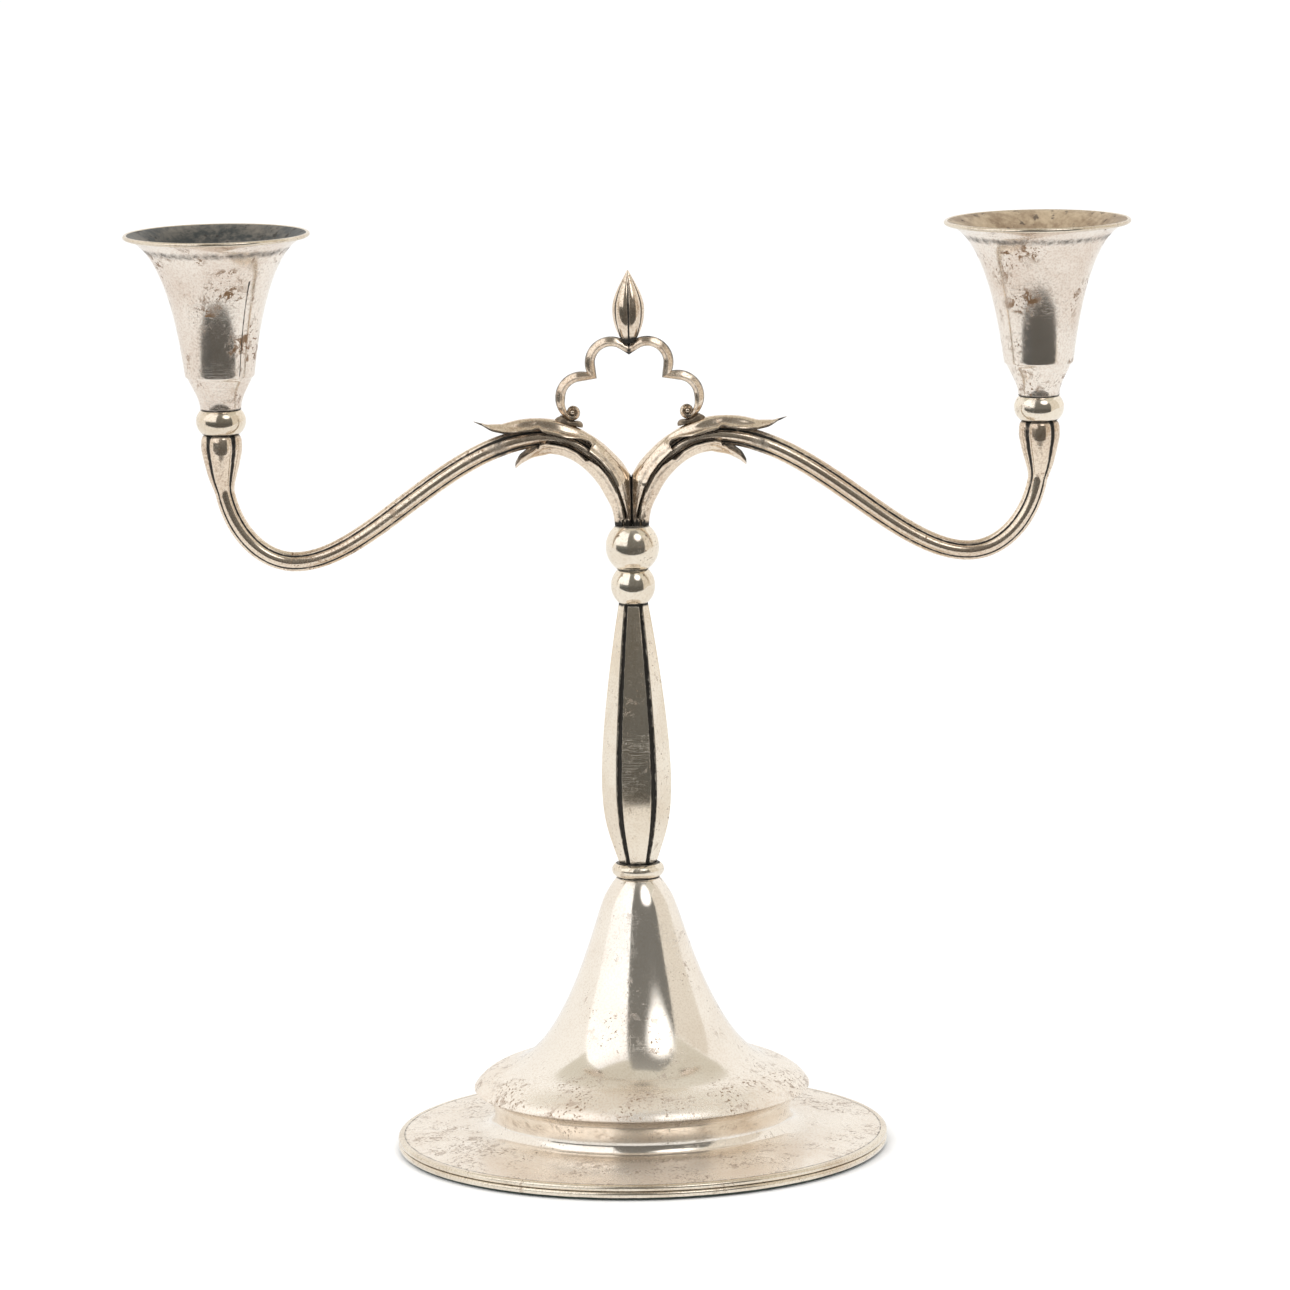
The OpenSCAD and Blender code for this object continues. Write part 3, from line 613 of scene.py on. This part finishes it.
def leaf_radii(table, u):
    """Inner and outer radius of a leaf about the arm's centre at u."""
    t = np.array(table, float)
    inner = arm_r(u) + LEAF_GAP + np.interp(u, t[:, 0], t[:, 2])
    return inner, inner + LEAF_T * np.interp(u, t[:, 0], t[:, 1])


def edge_height(edge, u, side):
    """How far the drawn edge passes above the arm's centre at u, or below it for side -1."""
    c, along, up = arm_at(u)
    p = np.array([(x, BRANCH + z) for x, z in edge]) - c
    t, s = p @ along, side * (p @ up)
    best = None
    for i in range(len(p) - 1):
        if (t[i] <= 0) != (t[i + 1] <= 0):
            k = t[i] / (t[i] - t[i + 1])
            h = s[i] + k * (s[i + 1] - s[i])
            if best is None or abs(h) < abs(best):
                best = h
    return best


def leaf(name, table, edge, side):
    """A sheath that rides on the arm: rounded over its back, undercut along its cut edges, solid to its tip."""
    last = table[-1][0]
    stations = np.r_[np.linspace(0, last * 0.9, 96, endpoint=False), np.linspace(last * 0.9, last, 36)]
    share = np.linspace(1, -1, LEAF_ACROSS)
    away = np.abs(share)
    down_share, wall_width, tip_wall_shade = LEAF_WALL.T
    walls = len(LEAF_WALL)
    first_wall, under = LEAF_ACROSS + walls, 2 * LEAF_ACROSS + walls  # where the first wall and the underside end
    rings, oxide_and_shade_rows, known = [], [], None
    for u in stations:
        c, _, up = arm_at(u)
        inner, outer = leaf_radii(table, u)
        h = edge_height(edge, u, side)
        if h is None:
            h = known if u < last * 0.5 and known is not None else outer
        known = h
        half = math.acos(max(-0.35, min(0.9995, h / outer)))
        if u < 0.05:
            half = math.radians(82)
        if u > last - 1e-6:
            half = 0.001
        angle = share * half
        tipward = smooth(u, last * 0.84, last * 0.96)
        open_leaf = smooth(u, 0.45, 0.8)
        fold = ((0.25 + 0.55 * open_leaf) * (1 - 0.6 * tipward)
                * smooth(away, 0.25, 0.66) * (1 - smooth(away, 0.72, 0.94)))
        r_out = np.maximum(outer - fold, inner + 0.2) + 0.12 * smooth(away, 0.86, 1.0)
        full_t = outer - inner
        edge_t = 0.7 + full_t * 0.9 * tipward
        sheet = full_t + (min(edge_t, full_t) - full_t) * smooth(away, 0.3, 0.9)
        r_in = np.minimum(np.maximum(outer - sheet, 0.05), r_out - 0.12)
        down = r_out[-1] + (r_in[-1] - r_out[-1]) * down_share
        rays = np.r_[r_out, down, r_in[::-1], down[::-1]]
        turns = np.r_[angle, np.full(walls, angle[-1]), angle[::-1] * 0.97, np.full(walls, angle[0])]
        m = c + side * up * (rays * np.cos(turns))[:, None]
        thick_edge = smooth(r_out[-1] - r_in[-1], 0.8, 2.0)
        width = np.ones(len(rays))
        width[LEAF_ACROSS:first_wall] = wall_width
        width[under:] = wall_width[::-1]
        width[first_wall:under] = wall_width[-1] + (1 - wall_width[-1]) * (1 - thick_edge)
        width = 1 + (width - 1) * thick_edge
        y = side * rays * np.sin(turns) * width * (1 - 0.25 * smooth(u, 0.8, 1.05))
        x = np.maximum(m[:, 0], 0.0)
        rings.append(np.c_[x, y, m[:, 1]])
        # painted shade in the fold along the leaf's back, down its cut edges and over its whole underside; oxide
        # along the parting line and at the root
        parting = near(x[:LEAF_ACROSS], 0, 0.55) * (side > 0)
        fold_shade = 0.42 * near(away, 0.78, 0.14) * (1 - 0.4 * tipward)
        outer_oxide_and_shade = np.clip(fold_shade + near(u, 0, 0.035) + 0.9 * parting, 0, 1)
        wall_shade = 0.55 + (tip_wall_shade - 0.55) * tipward
        oxide_and_shade_rows.append(np.r_[outer_oxide_and_shade, wall_shade, np.full(LEAF_ACROSS, 0.58), wall_shade[::-1]])
    return skin(name, rings, [CAST], {"soil": np.array(oxide_and_shade_rows), "worn": 0.0}, sharp=45)


# ---------------------------------------------------------------- trefoil arch

LOW = np.array([15.4, BRANCH + 41.5])   # centre of the right half's lower lobe
TOP = np.array([5.75, BRANCH + 52.6])   # and of its upper lobe
LOBE_R, BAR = 6.85, 3.2
# over the front of the bar: share of the way from the outer rail to the ridge, and depth
TO_RIDGE = ((0, 0), (0.12, 0.42), (0.45, 0.66), (0.8, 0.86), (1, 1))
# and from the ridge to the inner rail
FROM_RIDGE = ((0.2, 0.86), (0.55, 0.66), (0.88, 0.42), (1, 0))
# over those points, outer rail to inner rail: painted shade, darkest along both rails and beside the ridge
BAR_SHADE = [0.72, 0.5, 0.08, 0.05, 0.3, 0.5, 0.1, 0.45, 0.72]


def polar(centre, r, degrees):
    """Points at these radii and angles round a centre."""
    a = np.radians(degrees)
    return np.asarray(centre) + np.stack([r * np.cos(a), r * np.sin(a)], -1)


def along(points, shares):
    """Points at these shares of a polyline's length."""
    p = np.array(points, float)
    d = np.r_[0, np.cumsum(np.hypot(*np.diff(p, axis=0).T))]
    at = np.array(shares) * d[-1]
    return np.c_[np.interp(at, d, p[:, 0]), np.interp(at, d, p[:, 1])]


def half_arch():
    """Outer rail, ridge and inner rail of the right half, from the scroll's eye to the middle plane."""
    out_r, in_r = LOBE_R + BAR / 2, LOBE_R - BAR / 2
    scroll_at, scroll_r, scroll_bar, eye_r = -57.0, 2.9, 1.9, 0.95
    eye = polar(LOW, out_r - scroll_r, scroll_at)
    cusp = (LOW + TOP) / 2 + [-0.15, 0.55]
    notch = np.array([LOW[0] - 1.7, LOW[1] + 8.25])
    joint = (cusp + notch) / 2 + [0.1, 0.1]
    # scroll, from its eye outwards
    w = np.linspace(0, 1, 84, endpoint=False)
    turn = scroll_at - 440 * (1 - w)
    rho = eye_r + (scroll_r - eye_r) * w ** 0.8
    bar = 0.75 + 1.15 * w ** 1.2
    out, inn = polar(eye, rho, turn), polar(eye, rho - bar, turn)
    rails = [(o, (o + i) / 2, i, 0.55 + 0.45 * k) for o, i, k in zip(out, inn, w)]
    # lower lobe, its inner rail drawn into the cusp from this share on
    bend = 0.88
    w = np.r_[np.linspace(0, bend, 46, endpoint=False), np.linspace(bend, 1, 16)]
    a_out = scroll_at + (101.6 - scroll_at) * w
    thick = scroll_bar + (BAR - scroll_bar) * smooth(a_out, scroll_at, 5)
    o = polar(LOW, out_r, a_out)
    i = polar(LOW, out_r - thick, np.minimum(a_out, 88))
    k = np.clip((w - bend) / (1 - bend), 0, 1)[:, None]
    i = i * (1 - k) + cusp * k
    m = (o + i) / 2 * (1 - k) + joint * k
    rails += [(o[j], m[j], i[j], 1.0) for j in range(len(w) - 1)]
    # upper lobe, out of that cusp and into the middle one
    leave, close = 0.12, 0.86
    w = np.r_[np.linspace(0, leave, 16, endpoint=False), np.linspace(leave, close, 44, endpoint=False),
              np.linspace(close, 1, 16)]
    a0 = math.degrees(math.atan2(*(notch - TOP)[::-1]))
    a1 = 180 - math.degrees(math.acos(TOP[0] / out_r))
    a_out = a0 + (a1 - a0) * w
    o = polar(TOP, out_r, a_out)
    i = polar(TOP, in_r, np.clip(a_out, -2, 123))
    k0 = (1 - np.clip(w / leave, 0, 1))[:, None]
    i = i * (1 - k0) + cusp * k0
    centre_cusp = np.array([0.0, TOP[1] + 2.5])
    valley = np.array([0.0, TOP[1] + math.sqrt(out_r ** 2 - TOP[0] ** 2)])
    k1 = np.clip((w - close) / (1 - close), 0, 1)[:, None]
    i = i * (1 - k1) + centre_cusp * k1
    m = (o + i) / 2
    m = m * (1 - k0) + joint * k0
    m = m * (1 - k1) + (valley + centre_cusp) / 2 * k1
    rails += [(o[j], m[j], i[j], 1.0) for j in range(len(w))]
    return rails, eye


def arch():
    """Both halves of the arch as one bar, and the ball in the eye of each scroll."""
    rails, eye = half_arch()
    rings, oxide_and_shade_rows = [], []
    for o, m, i, thick in rails:
        h = BAR / 2 * thick
        front = ([(*(o + (m - o) * x), -h * y) for x, y in TO_RIDGE]
                 + [(*(m + (i - m) * x), -h * y) for x, y in FROM_RIDGE])
        back = [(x, z, -y) for x, z, y in front[1:-1]][::-1]
        rings.append([(x, y, z) for x, z, y in front + back])
        oxide_and_shade_rows.append(BAR_SHADE + BAR_SHADE[1:-1][::-1])
    count = len(rings)
    order = np.arange(count)
    low_z = np.array([r[0][2] for r in rings])
    foot_dirt = 0.8 * near(low_z, LOW[1] - 8.6, 1.2) + 0.7 * near(order, count, 6)
    scroll_dirt = 0.3 * smooth(np.linspace(1, 0, count), 0.75, 1)
    oxide_and_shade_rows = np.clip(np.array(oxide_and_shade_rows) + (foot_dirt + scroll_dirt)[:, None], 0, 1)
    right = np.array(rings)
    left = right[::-1] * [-1, 1, 1]
    both = np.concatenate([right, left[1:]])
    piece = skin("trefoil_arch_bar", both, [CAST], {"soil": np.concatenate([oxide_and_shade_rows, oxide_and_shade_rows[::-1][1:]])}, sharp=24)
    keep(piece, "silver", "trefoil_arch")
    slices, segments = 15, 28
    t = np.linspace(-math.pi / 2, math.pi / 2, slices)
    around = np.linspace(0, 2 * math.pi, segments, endpoint=False)
    r, y = 1.05 * np.cos(t) + 0.01, 1.25 * np.sin(t)
    for name, sign in (("right_scroll_eye", 1), ("left_scroll_eye", -1)):
        loops = np.stack([sign * (eye[0] + np.outer(r, np.cos(around))), np.repeat(y[:, None], segments, 1),
                          eye[1] + np.outer(r, np.sin(around))], -1)
        if sign > 0:
            loops = loops[::-1]
        ball = skin(name, loops, [CAST], {"soil": 0.15})
        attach(ball, "root")


def solder_feet():
    """Rounded lumps of solder between the scrolls and the leaves."""
    outline = [(15.2, 31.7), (16.9, 32.2), (19.0, 32.6), (21.4, 32.9), (24.3, 33.4), (23.9, 34.6), (22.9, 35.6),
               (21.9, 36.0), (20.8, 35.1), (19.4, 34.3), (18.0, 34.0), (16.4, 34.1), (15.4, 33.3)]
    slices, segments = 21, 60
    p = np.array([(x, BRANCH + z) for x, z in outline])
    fine = along(np.r_[p, p[:1]], np.linspace(0, 1, segments, endpoint=False))
    for _ in range(3):
        fine = (np.roll(fine, 1, 0) + 2 * fine + np.roll(fine, -1, 0)) / 4
    centre = fine.mean(0)
    rings = []
    for y in np.linspace(-1, 1, slices):
        size = math.sqrt(max(0.0, 1 - abs(y) ** 2.6)) * 0.98 + 0.02
        wave = 1 + 0.06 * np.sin(np.arange(segments) * 0.7 + 5 * y)
        q = centre + (fine - centre) * size * wave[:, None]
        rings.append(np.c_[q[:, 0], np.full(segments, 1.9 * y), q[:, 1]])
    right = skin("right_solder_foot", rings[::-1], [SOLDER], {"soil": 0.8})
    keep(right, "oxidised_silver", "right_arch_foot")
    keep(mirrored("left_solder_foot", right), "oxidised_silver", "left_arch_foot")


def bud():
    """Six-lobed bud, pointed, its grooves facing front and back."""
    tip = level("bud_finial")[1]
    z = tip - 21.2
    wide = z + 0.4 * (tip - z)
    neck_r, belly_r = 3.0, 5.15
    side = (run([(2.2, z - 2.1), (2.4, z - 1.2), (2.6, z - 0.5), (neck_r, z)], 8)
            + run([(neck_r, z), (4.3, z + 2.8), (belly_r, wide - 3.6), (belly_r, wide)], 30)
            + run([(belly_r, wide), (belly_r, wide + 4.4), (belly_r / 2, tip - 4.6), (0.35, tip - 0.25)], 44)
            + [(0.3, tip - 0.2), (0.18, tip - 0.05), (0.02, tip)])
    a = np.linspace(0, 2 * math.pi, 144, endpoint=False)
    b = (a + math.pi / 6) % (math.pi / 3) - math.pi / 6
    section = lobes(a, 6, 0.30)
    rings, oxide_and_shade_rows = [], []
    for r, h in side:
        fade = smooth(h, z - 2.1, z + 1.5) * (1 - 0.75 * smooth(h, tip - 5, tip))
        shape = 1 - (1 - section) * (0.35 + 1.25 * fade)
        rings.append(np.c_[r * shape * np.cos(a), r * shape * np.sin(a), np.full(len(a), h)])
        groove = smooth(np.abs(b), math.radians(22), math.radians(29)) * fade
        oxide_and_shade_rows.append(np.clip(groove * 0.9 + 0.9 * near(h, z - 1.3, 1.6), 0, 1))
    piece = skin("six_lobed_bud", rings, [CAST], {"soil": np.array(oxide_and_shade_rows)}, sharp=32)
    keep(piece, "silver", "bud_finial")


# ---------------------------------------------------------------- sockets

def socket(side, lining):
    """Flared socket on its bead: outside, rim, stained lining and bore."""
    x = CUP_X * side
    hand = "right" if side > 0 else "left"
    z0 = CUP_BASE
    ledge = BORE_R + SOCKET_WALL
    floor = z0 + 11.4
    wire = 0.7
    stud_r, nut_r, nut_z = 2.2, 4.6, floor - 4.4
    step = (BORE_R - 0.1, floor - 1.7)
    flare = (ledge + 12.05, RIM - 5.1)
    edge = (RIM_R - wire, RIM - 1)
    outside = (run([(NECK_R, z0), (6.8, z0 + 4), (BORE_R - 1.6, z0 + 6.2), step], 24)
               + run([step, (BORE_R + 0.1, floor - 1.3), (ledge - 0.1, floor - 0.9), (ledge, floor - 0.5)], 8)
               + run([(ledge, floor - 0.4), (ledge + 1.9, floor + 15.7), (ledge + 5.55, RIM - 12.9), flare], 60)
               + run([flare, (ledge + 13.9, RIM - 2.9), (RIM_R - 2.6, RIM - 1.5), edge], 20)
               + [edge])
    inner = [p for p in offset_left(outside, SOCKET_WALL) if p[1] > floor + 18][::-1]
    inside = inner + [(BORE_R, floor + 14), (BORE_R, floor), (nut_r, floor), (nut_r, nut_z), (stud_r, nut_z)]
    cup = turned(f"{hand}_socket", outside + inside, [SOCKET, lining], x=x,
                 bands=[0] * len(outside) + [1] * len(inside),
                 seam=(308, floor + 0.4, RIM - 14) if side < 0 else None,
                 soil=((NECK_R, z0, 0.5, 0.7), (ledge, floor - 0.9, 0.3, 0.3),
                       (RIM_R - wire, RIM - 1.2, 1.0, 0.6), (*flare, 2.2, 0.5)))
    keep(cup, "silver", f"{hand}_cup")
    loop = [(RIM_R - wire + wire * math.cos(q), RIM - wire + wire * math.sin(q))
            for q in np.linspace(0, 2 * math.pi, 24, endpoint=False)]
    keep(turned(f"{hand}_rim", loop, [EDGE], x=x, hoop=True, soil=((RIM_R - wire, RIM - 2 * wire, 0.4, 0.6),)),
         "silver", f"{hand}_rim_wire")
    keep(ring(f"{hand}_ball", f"{hand}_bead", STEM, 1.9, 0.65), "silver", f"{hand}_bead")


# ---------------------------------------------------------------- studio

AIM_Z = 0.17   # height that the sky patches are centred on, in metres


def only_glossy(thing):
    """Seen in the metal's reflections and nowhere else."""
    thing.visible_camera = thing.visible_diffuse = thing.visible_shadow = thing.visible_transmission = False


def glow_finish(name, colour, see_through=False):
    """Pure light, as strong as the mesh's glow mark says; a see-through one adds to what is behind it."""
    finish = bpy.data.materials.new(name + "_glow")
    finish.use_nodes = True
    nodes, links = finish.node_tree.nodes, finish.node_tree.links
    nodes.clear()
    out = nodes.new("ShaderNodeOutputMaterial")
    emit = nodes.new("ShaderNodeEmission")
    mark = nodes.new("ShaderNodeAttribute")
    mark.attribute_name = "glow"
    emit.inputs["Color"].default_value = (*colour, 1)
    links.new(mark.outputs["Fac"], emit.inputs["Strength"])
    light = emit.outputs[0]
    if see_through:
        both = nodes.new("ShaderNodeAddShader")
        links.new(light, both.inputs[0])
        links.new(nodes.new("ShaderNodeBsdfTransparent").outputs[0], both.inputs[1])
        light = both.outputs[0]
    links.new(light, out.inputs[0])
    return finish


def dome_point(az, el, radius):
    """A point on a dome round the object, azimuth from the front, in millimetres."""
    return (radius * math.cos(el) * math.sin(az) / MM, -radius * math.cos(el) * math.cos(az) / MM,
            (AIM_Z + radius * math.sin(el)) / MM)


def sky_patch(name, az0, az1, glow, colour, radius):
    """Part of a large dome round the object, seen only in the metal. Glow lists (elevation, strength)."""
    az = np.radians(np.linspace(az0, az1, 49))
    heights = [g[0] for g in glow]
    el = np.linspace(heights[0], heights[-1], 41)
    strength = np.interp(el, heights, [g[1] for g in glow])
    grid = [[dome_point(a, e, radius) for a in az] for e in np.radians(el)]
    patch = skin(name, grid, [glow_finish(name, colour)], {"glow": strength[:, None]}, caps=False, loop=False)
    only_glossy(patch)


def sky_disc(name, az, el, spread, glow, radius):
    """A round soft light as the metal sees it, fading over its outer half."""
    a, e = math.radians(az), math.radians(el)
    ahead = np.array([math.cos(e) * math.sin(a), -math.cos(e) * math.cos(a), math.sin(e)])
    across = np.array([math.cos(a), math.sin(a), 0])
    upward = np.cross(across, ahead)
    around = np.linspace(0, 2 * math.pi, 64, endpoint=False)
    steps = np.linspace(0.01, 1, 14)
    reach = np.tan(np.radians(spread * steps))
    grid = [[(radius * (ahead + k * (math.cos(t) * across + math.sin(t) * upward)) + [0, 0, AIM_Z]) / MM
             for t in around] for k in reach]
    strength = glow * (1 - smooth(steps, 0.45, 1.0))
    finish = glow_finish(name, (1, 1, 1), see_through=True)
    patch = skin(name, grid, [finish], {"glow": strength[:, None]}, caps=False)
    only_glossy(patch)


def lamp(name, az, el, distance, width, height, watts):
    """An area lamp for the floor and the dull parts; the metal sees the sky patches instead."""
    light = bpy.data.lights.new(name, "AREA")
    light.shape = "RECTANGLE"
    light.size, light.size_y = width, height
    light.energy = watts
    thing = bpy.data.objects.new(name, light)
    bpy.context.scene.collection.objects.link(thing)
    a, e = math.radians(az), math.radians(el)
    target = Vector((0, 0, 0.15))
    away = distance * Vector((math.cos(e) * math.sin(a), -math.cos(e) * math.cos(a), math.sin(e)))
    thing.location = target + away
    thing.rotation_euler = away.to_track_quat("Z", "Y").to_euler()
    thing.visible_camera = thing.visible_glossy = False


def studio():
    scene = bpy.context.scene
    scene.view_settings.view_transform = "Standard"
    world = bpy.data.worlds.new("pale_studio")
    scene.world = world
    world.use_nodes = True
    back = world.node_tree.nodes["Background"]
    back.inputs["Color"].default_value = (1.0, 1.0, 1.0, 1)
    back.inputs["Strength"].default_value = 1.12
    # the camera sees a wide floor, the metal sees a table with a front edge
    f = Finish("pale_floor")
    pale = f.blend(f.noise(7, 3).ramp(0.3, 0.7), (0.92, 0.92, 0.915), (0.94, 0.94, 0.935))
    floor_finish = f.done(Base_Color=pale, Roughness=0.85, Specular_IOR_Level=0.2)
    around = np.linspace(0, 2 * math.pi, 96, endpoint=False)
    disc = [[(r * math.cos(a), r * math.sin(a), 0.0) for a in around] for r in (14000, 1)]
    floor = skin("floor", disc, [floor_finish], caps=False)
    floor.data.flip_normals()
    floor.visible_glossy = False
    half, front_edge = 3000, -360
    top = [[(-half, y, 0), (half, y, 0)] for y in (front_edge, half)]
    table = skin("table_top", top, [floor_finish], caps=False, loop=False)
    only_glossy(table)
    sky_patch("white_surround", -180, 180, [(-60, 0.85), (0, 0.98), (44, 1.02)],
              (1.0, 0.985, 0.95), radius=3.4)
    sky_patch("olive_ceiling", -180, 180, [(43, 0.70), (60, 0.70), (90, 0.66)],
              (1.0, 0.96, 0.84), radius=3.3)
    sky_patch("right_board", 56, 104, [(-30, 0.80), (42, 0.80)], (1.0, 0.94, 0.84), radius=3.2)
    sky_patch("dark_studio_front", -23, 56, [(-40, 0.12), (-5, 0.12), (8, 0.18), (50, 0.21), (78, 0.36)],
              (1.0, 0.98, 0.91), radius=3.1)
    sky_patch("dark_studio_low", -74, -23, [(-40, 0.10), (-4, 0.13), (9, 0.24)],
              (0.97, 1.0, 0.97), radius=3.1)
    sky_patch("window_glow", -88, -23, [(10, 1.1), (24, 1.3), (52, 1.35), (64, 1.0)],
              (1.0, 1.0, 1.0), radius=2.9)
    sky_disc("round_glow", 32, 46, 19, 1.9, radius=2.7)
    lamp("window_lamp", -52, 36, 1.9, 1.9, 1.5, 12)
    lamp("round_lamp", 26, 50, 2.2, 0.55, 0.55, 4)


def camera():
    """A long lens a little above the sockets, leaning one degree."""
    side, back, height, aim_height = 0.0035, -2.3557, 0.5527, 0.1645
    data = bpy.data.cameras.new("camera")
    data.lens = 207
    data.sensor_width = 36
    data.clip_end = 50
    cam = bpy.data.objects.new("camera", data)
    bpy.context.scene.collection.objects.link(cam)
    cam.location = (side, back, height)
    aim = Vector((side, 0, aim_height)) - cam.location
    lean = Quaternion((0, 0, 1), math.radians(-1.0))
    cam.rotation_mode = "QUATERNION"
    cam.rotation_quaternion = aim.to_track_quat("-Z", "Y") @ lean
    bpy.context.scene.camera = cam


# ---------------------------------------------------------------- making

def hidden_parts():
    """Inner nodes that stay as they are, with their own finishes."""
    for finish, nodes in ((SOLDER, ("closing_plate", "left_stud_nut", "right_stud_nut")),
                          (PITCH, ("foot_filling",)),
                          (STEEL, ("tie_rod", "tie_rod_washer", "tie_rod_nut", "left_stud", "right_stud"))):
        for node in nodes:
            mesh = frame["nodes"][node].data
            mesh.materials.clear()
            mesh.materials.append(finish)


def make():
    camera()
    studio()
    foot()
    stem()
    panelled_stem()
    right = arm()
    keep(right, "silver", "right_arm")
    keep(mirrored("left_branch", right), "silver", "left_arm")
    for part, table, edge, side in (("upper", UPPER_LEAF, UPPER_EDGE, 1), ("lower", LOWER_LEAF, LOWER_EDGE, -1)):
        right = leaf(f"right_{part}_sheath", table, edge, side)
        keep(right, "silver", f"right_{part}_leaf")
        keep(mirrored(f"left_{part}_sheath", right), "silver", f"left_{part}_leaf")
    arch()
    solder_feet()
    bud()
    socket(1, RIGHT_LINING)
    socket(-1, LEFT_LINING)
    hidden_parts()


make()
bpy.context.view_layer.update()
